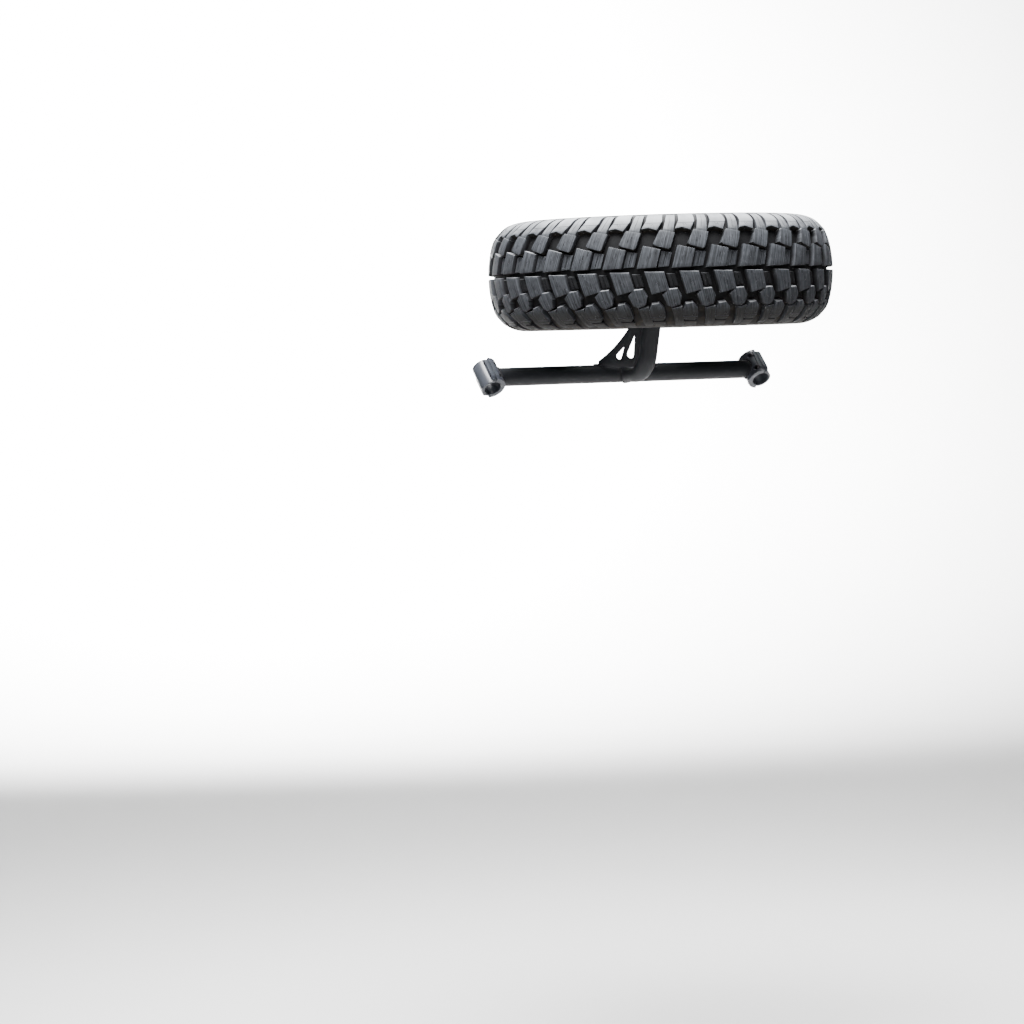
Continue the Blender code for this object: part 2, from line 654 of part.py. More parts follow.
def main():
    clear_scene()
    black = material("powder_coated_steel", (0.025, 0.026, 0.028), 0.42, 0.2)
    zinc = material("zinc_plated_steel", (0.55, 0.55, 0.56), 0.35, 1.0)
    bolt_black = material("black_oxide_steel", (0.03, 0.03, 0.032), 0.45, 0.6)
    alloy = material("cast_alloy", (0.045, 0.046, 0.048), 0.38, 0.3)
    rubber = material("tyre_rubber", (0.035, 0.036, 0.037), 0.75, 0.0)
    plastic = material("black_plastic", (0.03, 0.03, 0.032), 0.5, 0.0)

    legs = {side: clamp_frame(side) for side in (-1, 1)}
    add_crossbar(black, legs)
    for side, frame in legs.items():
        add_clamp(side, black, bolt_black, frame)
    add_arm(black)
    for side in (-1, 1):
        add_web(side, black)
    add_plate(black, zinc, empty("mount_axis", (0, -REACH, PLATE_TOP)))

    wheel = empty("wheel_axis", (0, -REACH, WHEEL_Z))
    rim = add_rim(alloy, wheel)
    add_tyre(rubber, wheel)
    add_lug_nuts(zinc, wheel)
    add_centre_cap(plastic, wheel)
    add_valve(rubber, zinc, plastic, rim, wheel)


main()
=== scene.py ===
"""A spare tyre carrier for the rear cage of an off-road buggy, as it looks.

A crossbar is clamped to two sloping cage legs. A bent arm with two flat webs rises from it and ends
in a plate with four studs, on which a spare wheel lies flat. The wheel wears a mud tyre whose tread
is one pitch of lugs, repeated round the axis.

Metres, +Z up, +X along the crossbar, +Y to the front of the vehicle. The origin is the middle of
the crossbar's axis. Lengths in tables are in millimetres where their comment says so.
"""

from bisect import bisect_left
from math import asin, cos, degrees, pi, radians, sin, sqrt, tan

import bmesh
import bpy
from bpy.props import FloatProperty, IntProperty, PointerProperty
from mathutils import Matrix, Vector


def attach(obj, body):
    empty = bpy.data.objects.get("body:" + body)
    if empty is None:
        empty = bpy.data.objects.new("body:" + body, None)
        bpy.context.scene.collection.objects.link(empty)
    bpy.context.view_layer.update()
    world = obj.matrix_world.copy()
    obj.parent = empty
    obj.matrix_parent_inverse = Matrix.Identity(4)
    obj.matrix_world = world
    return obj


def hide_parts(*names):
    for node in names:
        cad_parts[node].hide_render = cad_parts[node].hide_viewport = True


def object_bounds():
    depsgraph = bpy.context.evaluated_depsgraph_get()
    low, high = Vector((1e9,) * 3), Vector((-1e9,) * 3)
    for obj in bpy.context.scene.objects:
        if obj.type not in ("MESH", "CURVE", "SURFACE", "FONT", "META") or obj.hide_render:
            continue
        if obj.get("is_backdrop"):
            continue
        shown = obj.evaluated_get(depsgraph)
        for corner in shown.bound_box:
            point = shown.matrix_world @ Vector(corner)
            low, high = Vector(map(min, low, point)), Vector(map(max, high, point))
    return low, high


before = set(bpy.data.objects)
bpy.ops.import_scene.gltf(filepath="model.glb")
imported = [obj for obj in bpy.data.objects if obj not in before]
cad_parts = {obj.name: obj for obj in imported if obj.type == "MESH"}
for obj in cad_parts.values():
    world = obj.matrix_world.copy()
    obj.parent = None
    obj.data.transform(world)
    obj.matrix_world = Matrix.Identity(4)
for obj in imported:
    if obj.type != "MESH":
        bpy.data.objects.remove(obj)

bl_info = {
    "name": "Spare Tyre Carrier",
    "version": (1, 0, 0),
    "blender": (4, 5, 0),
    "location": "3D View > Sidebar > Carrier",
    "description": "Builds a clamped spare tyre carrier with its wheel, steelwork and studio",
    "category": "Add Mesh",
}

MM = 0.001

# The wheel's place and standard sizes
REACH = 0.183
PLATE_TOP = 0.272
WHEEL_OFFSET = 0.038
DISC_THICK = 0.014
GAP = 0.0003
WHEEL_Z = PLATE_TOP + GAP - WHEEL_OFFSET
HUB = Vector((0, -REACH, WHEEL_Z))
RIM_SEAT = 0.1905
RIM_HALF = 0.0889
RIM_FLANGE = 0.0173
RIM_LIP = 0.0111
RIM_WALL = 0.0055
RIM_DROP = 0.0225
CENTRE_BORE = 0.0555
STUD_RING = 0.078
STUD_OD = 0.012
NUT_AF = 0.019
NUT_HEIGHT = 0.030
NUT_CONE_R = 0.00975
LUG_HOLE_R = 0.0074
VALVE_TILT = 25.0

# Steelwork
LEG_SLOPE = 46.7
LEG_SPACING = 0.744
LEG_R = 0.02065
SADDLE_R = LEG_R + 0.0115
CAP_R = LEG_R + 0.0055
CLAMP_HALF = 0.035
CLAMP_TRIM = 0.00006     # that a smooth clamp is smaller all round than its faceted solid
CLAMP_SPLIT = 0.0024
EAR_REACH = LEG_R + 0.0128
EAR_THICK = 0.0105
EAR_CORNER = 0.014
BOLT_OFFSET = LEG_R + 0.0065
BOLT_PITCH = 0.040
TUBE_WALL = 0.0032
ARM_LEAN = 16.4
BEND_RADIUS = 0.0635
PLATE_R = 0.100
PLATE_THICK = 0.00635
WEB_THICK = 0.005
WEB_FOOT = 0.0745
LEAN = radians(ARM_LEAN)
CORNER_Y = -REACH + tan(LEAN) * PLATE_TOP
UP_ARM = Vector((0, -sin(LEAN), cos(LEAN)))
WEB_TOP = PLATE_TOP - 0.037
WEB_DIP = 0.0072         # that a web's lower edge lies below the top of the crossbar
SIDES = 96               # of the tubes and the clamps

AT_HUB = Matrix.Translation(HUB)
LEVEL = Matrix.Rotation(pi / 2, 4, "Y")      # lays an upright rod along the crossbar
CREASED = 35.0           # degrees of bend above which an edge of a smooth mesh stays sharp

# Half of the tyre's outer section, (radius, height above the middle) in mm, from crown to bead
SECTION = (
    (406.4, 0), (405.7, 20), (403.6, 40), (398.9, 65), (391.6, 87), (384.6, 97), (372.8, 109.6),
    (362.5, 117.6), (350, 123), (336, 126.6), (321, 128.2), (300, 127.6), (280, 124.6),
    (262, 120), (245, 114.6), (230, 109), (219, 104.6), (213.6, 101.4),
)
CREASE = 118.0           # mm along the section from the crown to the shoulder's fold
TREAD_END = 158.0        # mm along the section to where the side lugs run out

# One pitch of the tread: corners as (mm round, mm along the section from the crown)
CENTRE_LUG = ((0, 3.8), (44, 5.2), (55, 46), (15, 55.5))
SECOND_LUG = ((38, 59), (43, 55), (73, 46.5), (78, 50), (90, 85), (56, 92), (53, 90))
LOWER_SECOND_LUG = ((40, 58), (54, 44.5), (74, 43), (84, 60), (80, 80), (62, 87), (51, 82))
SIDE_BAR = ((61, 90), (86, 86), (92, 119), (95, 150), (73, 151), (68, 119))
SHOULDER_LUG = ((11, 95), (28, 99), (47, 91), (61, 119), (63, 157), (24, 158), (21, 120))
LOWER_SHOULDER_LUG = ((7, 94), (14, 79), (31, 76), (42, 88), (46, 117), (40, 126), (16, 126), (9, 116))
LOWER_SIDE_LUG = ((13, 130), (44, 130), (50, 157), (19, 158))
TIE_BAR = ((47.5, 6), (73, 8), (81, 40), (57.5, 44))
LOWER_TIE_BAR = ((50, 9), (69, 10), (77, 38), (59, 41))
LOWER_SHIFT = 17.5       # mm that the lower half is turned against the upper
SIDEWALL_R = 0.345       # radius inside which the tyre is bare sidewall, in metres


# ---------------------------------------------------------------- settings

class TyreSettings(bpy.types.PropertyGroup):
    pitches: IntProperty(name="Pitches", description="Repeats of the tread pattern", default=32)
    start: FloatProperty(
        name="Start", description="Where the first pitch begins, seen from above",
        default=radians(243.2), subtype="ANGLE", unit="ROTATION")
    lug_height: FloatProperty(
        name="Lug height", description="From the groove's floor to a lug's face",
        default=0.0140, subtype="DISTANCE", unit="LENGTH")
    edge: FloatProperty(
        name="Lug edge", description="Rounding of a lug's edges",
        default=0.0011, subtype="DISTANCE", unit="LENGTH")
    sipe: FloatProperty(
        name="Sipe", description="Width of the narrow cuts in a lug",
        default=0.0011, subtype="DISTANCE", unit="LENGTH")
    sipe_depth: FloatProperty(
        name="Sipe depth", description="Depth of the narrow cuts in a lug",
        default=0.0035, subtype="DISTANCE", unit="LENGTH")


class SteelSettings(bpy.types.PropertyGroup):
    tube_od: FloatProperty(
        name="Tube", description="Outside diameter of the crossbar and the arm",
        default=0.04445, subtype="DISTANCE", unit="LENGTH")
    bead: FloatProperty(
        name="Weld bead", description="Width of a weld bead",
        default=0.0058, subtype="DISTANCE", unit="LENGTH")
    ripple: FloatProperty(
        name="Weld ripple", description="Distance between two ripples of a bead",
        default=0.0019, subtype="DISTANCE", unit="LENGTH")
    edge: FloatProperty(
        name="Edge", description="Rounding of cut plate edges",
        default=0.0009, subtype="DISTANCE", unit="LENGTH")


class WheelSettings(bpy.types.PropertyGroup):
    windows: IntProperty(name="Windows", description="Openings in the wheel's disc", default=8)
    studs: IntProperty(name="Studs", description="Wheel studs and lug nuts", default=4)
    edge: FloatProperty(
        name="Edge", description="Rounding of the casting's edges",
        default=0.0016, subtype="DISTANCE", unit="LENGTH")


class StageSettings(bpy.types.PropertyGroup):
    floor: FloatProperty(
        name="Floor", description="Height of the floor below the crossbar's axis",
        default=-1.60, subtype="DISTANCE", unit="LENGTH")
    sky: FloatProperty(name="Sky", description="Strength of the even light all round", default=0.22)
    key: FloatProperty(name="Key", description="Power of the overhead light in watts", default=500.0)
    wash: FloatProperty(name="Wash", description="Power of the backdrop light in watts", default=4600.0)


# ---------------------------------------------------------------- material maths

class Value:
    """A socket in a material's tree. Operators add the node that each stands for."""

    def __init__(self, tree, socket):
        self.tree = tree
        self.socket = socket

    def made(self, kind, inputs=(), output=0, **facts):
        """Adds a node of this kind with these inputs, by name or number, and gives one output."""
        node = self.tree.nodes.new(kind)
        for name, value in facts.items():
            setattr(node, name, value)
        for name, value in dict(inputs).items():
            if isinstance(value, Value):
                self.tree.links.new(value.socket, node.inputs[name])
            else:
                node.inputs[name].default_value = value
        return Value(self.tree, node.outputs[output])

    def maths(self, operation, *others):
        values = (self, *others)
        return self.made("ShaderNodeMath", dict(enumerate(values)), operation=operation)

    def __add__(self, other):
        return self.maths("ADD", other)

    def __radd__(self, other):
        return self.maths("ADD", other)

    def __sub__(self, other):
        return self.maths("SUBTRACT", other)

    def __rsub__(self, other):
        return (self * -1) + other

    def __mul__(self, other):
        return self.maths("MULTIPLY", other)

    def __rmul__(self, other):
        return self.maths("MULTIPLY", other)

    def __truediv__(self, other):
        return self.maths("DIVIDE", other)

    def __pow__(self, other):
        return self.maths("POWER", other)

    def between(self, low, high):
        """0 at low and 1 at high, smooth, and held outside them."""
        inputs = {"Value": self, "From Min": low, "From Max": high}
        return self.made("ShaderNodeMapRange", inputs, interpolation_type="SMOOTHSTEP")

    def mixed(self, a, b):
        """Colour a where this is 0 and colour b where it is 1."""
        inputs = {0: self, 6: a, 7: b}
        return self.made("ShaderNodeMix", inputs, output=2, data_type="RGBA", clamp_factor=True)


def rgb(red, green, blue):
    return (red, green, blue, 1.0)


class Finish:
    """A new material with its shader, and the noise and coordinates that procedural finishes use."""

    def __init__(self, name, metallic=0.0, specular=0.5):
        self.material = bpy.data.materials.new(name)
        self.material.use_nodes = True
        self.tree = self.material.node_tree
        self.shader = self.tree.nodes["Principled BSDF"]
        self.shader.inputs["Metallic"].default_value = metallic
        self.shader.inputs["Specular IOR Level"].default_value = specular
        coordinates = self.tree.nodes.new("ShaderNodeTexCoord")
        self.place = Value(self.tree, coordinates.outputs["Object"])

    def set(self, **values):
        names = {
            "colour": "Base Color", "roughness": "Roughness", "coat": "Coat Weight", "normal": "Normal"}
        for word, value in values.items():
            socket = self.shader.inputs[names[word]]
            if isinstance(value, Value):
                self.tree.links.new(value.socket, socket)
            else:
                socket.default_value = value
        return self

    def noise(self, scale, detail, vector=None):
        return self.place.made("ShaderNodeTexNoise", {
            "Vector": vector or self.place, "Scale": scale, "Detail": detail, "Roughness": 0.55})

    def parts(self):
        split = self.place.made("ShaderNodeSeparateXYZ", {0: self.place})
        node = split.socket.node
        return [Value(self.tree, node.outputs[i]) for i in range(3)]

    def vector(self, x, y, z):
        return self.place.made("ShaderNodeCombineXYZ", {0: x, 1: y, 2: z})

    def attribute(self, name):
        return self.place.made("ShaderNodeAttribute", output=2, attribute_name=name)

    def upward(self):
        """The surface's own slope: 1 facing up, 0 upright and -1 facing down."""
        normal = self.place.made("ShaderNodeNewGeometry", output=1)
        return self.place.made("ShaderNodeSeparateXYZ", {0: normal}, output=2)

    def bump(self, height, strength, distance):
        inputs = {"Height": height, "Strength": strength, "Distance": distance}
        return self.place.made("ShaderNodeBump", inputs)


def tyre_rubber():
    """Cool dark rubber: grey streaks on the lugs, painted shade in the grooves and on what faces down, dust
    with a painted highlight on what looks up, and brown soil below.
    """
    f = Finish("tyre rubber", specular=0.11)
    x, y, z = f.parts()
    y = y + REACH
    round_ = y.maths("ARCTAN2", x)
    up = f.upward()
    wear_and_groove_shade = f.attribute("lug_face")
    lean = (z - WHEEL_Z).maths("ABSOLUTE") * 0.28
    lines = f.noise(1.0, 2.0, f.vector((round_ * (SECTION[0][0] * MM) - lean) * 520.0, z * 9.0, 0.0))
    grain = f.noise(900.0, 2.0)
    cloud = f.noise(16.0, 4.0)
    blotch = f.noise(70.0, 4.0)
    # Near-black groove colour: the rubber's own black, with painted shade in the grooves.
    groove_black_with_shade = cloud.mixed(rgb(0.0030, 0.0032, 0.0036), rgb(0.0080, 0.0082, 0.0088))
    scuffed = blotch.mixed(rgb(0.029, 0.032, 0.037), rgb(0.092, 0.098, 0.110))
    # Lug faces scuffed grey from real wear; grooves and lug sides darker as painted shade in the recesses.
    faces = (wear_and_groove_shade * lines.between(0.35, 0.68) * 0.60 + wear_and_groove_shade * 0.28).mixed(groove_black_with_shade, scuffed)
    # Upward faces lighter: partly dust, partly a painted highlight where the overhead light falls.
    dust_and_top_sheen = up.between(0.50, 0.92) * (cloud.between(0.25, 0.7) * 0.5 + 0.4) * (wear_and_groove_shade * 0.75 + 0.08)
    with_dust_and_sheen = dust_and_top_sheen.mixed(faces, rgb(0.32, 0.33, 0.345))
    # Painted shade: faces that look down are darkened towards near black.
    under = (up * -1.0).between(0.15, 0.75)
    with_underside_shade = (under * 0.92).mixed(with_dust_and_sheen, rgb(0.0045, 0.0042, 0.0038))
    low = (1.0 - wear_and_groove_shade) * blotch.between(0.35, 0.7) * (up * -1.0).between(-0.1, 0.9) * 0.5
    soil = low.mixed(with_underside_shade, rgb(0.024, 0.018, 0.012))
    rough = 0.62 + blotch * 0.2 - wear_and_groove_shade * 0.10
    height = lines * wear_and_groove_shade * 0.6 + grain * 0.25 + blotch * 0.15
    return f.set(colour=soil, roughness=rough, normal=f.bump(height, 0.5, 0.0008)).material


def powder_coat():
    """Satin black powder coat with a faint orange peel, and a little dust with a painted highlight on top.
    """
    f = Finish("satin black powder coat", specular=0.15)
    peel = f.noise(620.0, 2.0)
    broad = f.noise(9.0, 3.0)
    # Upward faces lighter: partly dust, partly a painted top highlight where the overhead light falls.
    dust_and_top_sheen = f.upward().between(0.35, 1.0) * broad.between(0.35, 0.75) * 0.20
    colour = dust_and_top_sheen.mixed(rgb(0.0120, 0.0127, 0.0148), rgb(0.090, 0.091, 0.093))
    rough = 0.40 + broad * 0.14 + dust_and_top_sheen * 0.6
    return f.set(colour=colour, roughness=rough, normal=f.bump(peel, 0.10, 0.0003)).material


def clamp_coat():
    """The clamps' black coat, which is a little smoother and cooler."""
    f = Finish("satin black clamp coat", specular=0.45)
    peel = f.noise(800.0, 2.0)
    broad = f.noise(30.0, 3.0)
    colour = broad.mixed(rgb(0.027, 0.030, 0.037), rgb(0.045, 0.049, 0.059))
    rough = 0.24 + broad * 0.12
    return f.set(colour=colour, roughness=rough, normal=f.bump(peel, 0.08, 0.0003)).material


def metal(name, colour, rough):
    f = Finish(name, metallic=1.0)
    fine = f.noise(400.0, 3.0)
    broad = f.noise(400.0 / 12.0, 3.0)
    darker = rgb(*(0.55 * part for part in colour))
    shade = (broad * 0.6 + fine * 0.2).mixed(darker, rgb(*colour))
    rough = rough + fine * 0.12
    return f.set(colour=shade, roughness=rough, normal=f.bump(fine, 0.06, 0.0002)).material


def cast_paint():
    """Satin black paint over a cast wheel."""
    f = Finish("satin black wheel paint", specular=0.5)
    cast = f.noise(260.0, 4.0)
    broad = f.noise(14.0, 3.0)
    colour = broad.mixed(rgb(0.014, 0.0145, 0.016), rgb(0.028, 0.028, 0.030))
    rough = 0.32 + broad * 0.18
    return f.set(colour=colour, roughness=rough, coat=0.1, normal=f.bump(cast, 0.12, 0.0004)).material


def plastic():
    f = Finish("black plastic", specular=0.4)
    grain = f.noise(1200.0, 2.0)
    broad = f.noise(25.0, 2.0)
    colour = broad.mixed(rgb(0.016, 0.016, 0.017), rgb(0.028, 0.028, 0.029))
    rough = 0.42 + broad * 0.12
    return f.set(colour=colour, roughness=rough, normal=f.bump(grain, 0.15, 0.0002)).material


def floor_paint():
    f = Finish("pale studio floor", specular=0.05)
    colour = f.noise(0.6, 2.0).mixed(rgb(0.62, 0.62, 0.615), rgb(0.66, 0.66, 0.66))
    return f.set(colour=colour, roughness=0.85).material


# ---------------------------------------------------------------- mesh helpers

def baked(name, bm):
    """A mesh from a bmesh, which is freed."""
    mesh = bpy.data.meshes.new(name)
    bm.to_mesh(mesh)
    bm.free()
    return mesh


def smoothed(mesh, sharp=CREASED):
    mesh.shade_smooth()
    mesh.set_sharp_from_angle(angle=radians(sharp))


def linked(name, data):
    """An object with this data, in the scene."""
    made = bpy.data.objects.new(name, data)
    bpy.context.scene.collection.objects.link(made)
    return made


def put(name, bm, finish=None, frame_of=Matrix()):
    """An object from a bmesh, moved by a matrix. One with no finish is a cutter or a helper."""
    bmesh.ops.transform(bm, matrix=frame_of, verts=bm.verts)
    bmesh.ops.remove_doubles(bm, verts=bm.verts, dist=1e-6)
    bmesh.ops.recalc_face_normals(bm, faces=bm.faces)
    mesh = baked(name, bm)
    smoothed(mesh)
    if finish:
        mesh.materials.append(finish)
    return linked(name, mesh)


def settle(obj):
    """Applies an object's modifiers by making a plain mesh of it, and removes them."""
    bpy.context.view_layer.update()
    graph = bpy.context.evaluated_depsgraph_get()
    made = bpy.data.meshes.new_from_object(obj.evaluated_get(graph), depsgraph=graph)
    finishes = list(obj.data.materials)
    obj.modifiers.clear()
    obj.data = made
    if not made.materials:
        for part in finishes:
            made.materials.append(part)
    smoothed(made)
    return obj


def shaped(obj, operation, *others):
    """One Boolean after another, then the helpers are removed."""
    for other in others:
        step = obj.modifiers.new(other.name, "BOOLEAN")
        step.operation = operation
        step.object = other
        step.solver = "EXACT"
    settle(obj)
    for other in others:
        bpy.data.objects.remove(other, do_unlink=True)
    return obj


def rounded(obj, width, segments, angle):
    """Rounds an object's edges that bend by more than angle degrees."""
    step = obj.modifiers.new("rounding", "BEVEL")
    step.width = width
    step.segments = segments
    step.limit_method = "ANGLE"
    step.angle_limit = radians(angle)
    step.miter_outer = "MITER_ARC"
    step.use_clamp_overlap = True
    return settle(obj)


def joined(name, objects):
    """One object from several. Each face keeps its finish."""
    finishes = []
    bm = bmesh.new()
    for obj in objects:
        offset = []
        for part in obj.data.materials:
            if part not in finishes:
                finishes.append(part)
            offset.append(finishes.index(part))
        mesh = obj.data.copy()
        mesh.transform(obj.matrix_world)
        for face in mesh.polygons:
            face.material_index = offset[face.material_index] if offset else 0
        bm.from_mesh(mesh)
        bpy.data.meshes.remove(mesh)
    mesh = baked(name, bm)
    for part in finishes:
        mesh.materials.append(part)
    smoothed(mesh)
    made = linked(name, mesh)
    for obj in objects:
        bpy.data.objects.remove(obj, do_unlink=True)
    return made


def turned(profile, sides):
    """Turns (radius, height) points about Z. A profile that doesn't end on the axis is a closed loop."""
    bm = bmesh.new()
    points = [bm.verts.new((r, 0, z)) for r, z in profile]
    edges = [bm.edges.new(pair) for pair in zip(points, points[1:])]
    if profile[0][0] > 0:
        edges.append(bm.edges.new((points[-1], points[0])))
    bmesh.ops.spin(
        bm, geom=points + edges, axis=(0, 0, 1), cent=(0, 0, 0), angle=2 * pi, steps=sides)
    bmesh.ops.remove_doubles(bm, verts=bm.verts, dist=1e-6)
    poles = [vert for vert in bm.verts if vert.co.xy.length < 1e-6]
    bmesh.ops.dissolve_verts(bm, verts=poles)
    return bm


def rod(radius, low, high, sides=48):
    return turned([(0, low), (radius, low), (radius, high), (0, high)], sides)


def prism(outline, low, high, frame_of=Matrix()):
    bm = bmesh.new()
    base = bm.faces.new([bm.verts.new((x, y, low)) for x, y in outline])
    raised = bmesh.ops.extrude_face_region(bm, geom=[base])["geom"]
    top = [part for part in raised if isinstance(part, bmesh.types.BMVert)]
    bmesh.ops.translate(bm, verts=top, vec=(0, 0, high - low))
    bmesh.ops.transform(bm, matrix=frame_of, verts=bm.verts)
    return bm


def arc(cx, cy, radius, start, end, steps):
    turn = [radians(start + (end - start) * i / steps) for i in range(steps + 1)]
    return [(cx + radius * cos(a), cy + radius * sin(a)) for a in turn]


def rounded_rectangle(half_x, half_y, corner, steps=8):
    points = []
    for i, (sx, sy) in enumerate([(1, 1), (-1, 1), (-1, -1), (1, -1)]):
        x, y = sx * (half_x - corner), sy * (half_y - corner)
        points += arc(x, y, corner, 90 * i, 90 * i + 90, steps)
    return points


def teardrop(cx, cy, radius, tip_x, tip_y):
    """An outline that runs from a tip on both sides to a round end about (cx, cy)."""
    dx, dy = tip_x - cx, tip_y - cy
    away = sqrt(dx * dx + dy * dy)
    heading = -degrees(Vector((1, 0)).angle_signed(Vector((dx, dy))))
    half = 90 - degrees(asin(radius / away))
    return [(tip_x, tip_y)] + arc(cx, cy, radius, heading + half, heading + 360 - half, 24)


def loft(bm, low, high):
    for k in range(len(low)):
        after = (k + 1) % len(low)
        bm.faces.new((low[k], low[after], high[after], high[k]))


def swept(centres, radii, sides=64):
    """A rod, or with two radii a tube, along points in the YZ plane."""
    bm = bmesh.new()
    skins = []
    for radius in radii:
        rings = []
        for i, here in enumerate(centres):
            before, after = centres[max(i - 1, 0)], centres[min(i + 1, len(centres) - 1)]
            along = (after - before).normalized()
            side = Vector((1, 0, 0))
            up = side.cross(along)
            ring = []
            for k in range(sides):
                turn = 2 * pi * k / sides
                ring.append(bm.verts.new(here + radius * (cos(turn) * side + sin(turn) * up)))
            rings.append(ring)
        for low, high in zip(rings, rings[1:]):
            loft(bm, low, high)
        skins.append(rings)
    for end in (0, -1):
        if len(skins) == 2:
            loft(bm, skins[0][end], skins[1][end])
        else:
            bm.faces.new(skins[0][end])
    return bm


# ---------------------------------------------------------------- repeating geometry

class Tree:
    """A geometry node group under construction. It takes a mesh first and a finish last."""

    def __init__(self, name, **inputs):
        self.group = bpy.data.node_groups.new(name, "GeometryNodeTree")
        face = self.group.interface
        self.names = {}
        for word, kind in {"Geometry": "Geometry", **inputs, "Finish": "Material"}.items():
            socket = face.new_socket(word, in_out="INPUT", socket_type=f"NodeSocket{kind}")
            self.names[word] = socket.identifier
        face.new_socket("Geometry", in_out="OUTPUT", socket_type="NodeSocketGeometry")
        self.start = self.group.nodes.new("NodeGroupInput")
        self.end = self.group.nodes.new("NodeGroupOutput")

    def input(self, word):
        return self.start.outputs[word]

    def node(self, kind, inputs=(), **facts):
        made = self.group.nodes.new(kind)
        for name, value in facts.items():
            setattr(made, name, value)
        for name, value in dict(inputs).items():
            if isinstance(value, bpy.types.NodeSocket):
                self.group.links.new(value, made.inputs[name])
            else:
                made.inputs[name].default_value = value
        return made.outputs[0]

    def close(self, instances):
        """Every tree ends by making the instances real and giving them the finish."""
        real = self.node("GeometryNodeRealizeInstances", {0: instances})
        painted = self.node("GeometryNodeSetMaterial", {
            "Geometry": real, "Material": self.input("Finish")})
        self.group.links.new(painted, self.end.inputs[0])
        return self


def ring_tree():
    """Repeats what comes in round the Z axis of a centre."""
    tree = Tree("repeat round an axis", Count="Int", Step="Float", Start="Float", Centre="Vector")
    points = tree.node("GeometryNodeMeshLine", {
        "Count": tree.input("Count"), "Start Location": tree.input("Centre"), "Offset": (0, 0, 0)})
    index = tree.node("GeometryNodeInputIndex")
    turn = tree.node("ShaderNodeMath", {0: index, 1: tree.input("Step")}, operation="MULTIPLY")
    turn = tree.node("ShaderNodeMath", {0: turn, 1: tree.input("Start")}, operation="ADD")
    spin = tree.node("ShaderNodeCombineXYZ", {2: turn})
    placed = tree.node("GeometryNodeInstanceOnPoints", {
        "Points": points, "Instance": tree.input("Geometry"), "Rotation": spin})
    return tree.close(placed)


def bead_tree():
    """Lays overlapping ripples along a path, as a weld bead."""
    tree = Tree("weld bead", Ripple="Float", Width="Float")
    curve = tree.node("GeometryNodeMeshToCurve", {0: tree.input("Geometry")})
    even = tree.group.nodes.new("GeometryNodeResampleCurve")
    even.mode = "LENGTH"
    tree.group.links.new(curve, even.inputs["Curve"])
    tree.group.links.new(tree.input("Ripple"), even.inputs["Length"])
    ball = tree.node("GeometryNodeMeshUVSphere", {"Segments": 10, "Rings": 6, "Radius": 0.5})
    along = tree.node("GeometryNodeInputTangent")
    facing = tree.node("FunctionNodeAlignRotationToVector", {"Vector": along}, axis="Z")
    long = tree.node("ShaderNodeMath", {0: tree.input("Ripple"), 1: 2.3}, operation="MULTIPLY")
    wide = tree.input("Width")
    size = tree.node("ShaderNodeCombineXYZ", {0: wide, 1: wide, 2: long})
    placed = tree.node("GeometryNodeInstanceOnPoints", {
        "Points": even.outputs[0], "Instance": ball, "Rotation": facing, "Scale": size})
    return tree.close(placed)


def place_tree():
    """Puts what comes in at the four corners of a rectangle."""
    tree = Tree("repeat on a grid", Across="Float", Along="Float")
    grid = tree.node("GeometryNodeMeshGrid", {
        "Size X": tree.input("Across"), "Size Y": tree.input("Along"),
        "Vertices X": 2, "Vertices Y": 2})
    placed = tree.node("GeometryNodeInstanceOnPoints", {
        "Points": grid, "Instance": tree.input("Geometry")})
    return tree.close(placed)


def grown(obj, tree, **values):
    """Runs a tree on an object with these inputs, and keeps the result as its mesh."""
    step = obj.modifiers.new(tree.group.name, "NODES")
    step.node_group = tree.group
    for word, value in values.items():
        step[tree.names[word]] = value
    obj.update_tag()
    return settle(obj)


# ---------------------------------------------------------------- tyre

def smooth_path(points, steps):
    """Points on a smooth curve that passes through the given ones."""
    path = []
    for i in range(len(points) - 1):
        a = Vector(points[max(i - 1, 0)])
        b, c = Vector(points[i]), Vector(points[i + 1])
        d = Vector(points[min(i + 2, len(points) - 1)])
        if i == 0:
            a = Vector((c.x, -c.y))
        for k in range(steps):
            t = k / steps
            path.append(0.5 * (2 * b + (c - a) * t + (2 * a - 5 * b + 4 * c - d) * t * t
                               + (3 * b - 3 * c + d - a) * t ** 3))
    path.append(Vector(points[-1]))
    return path


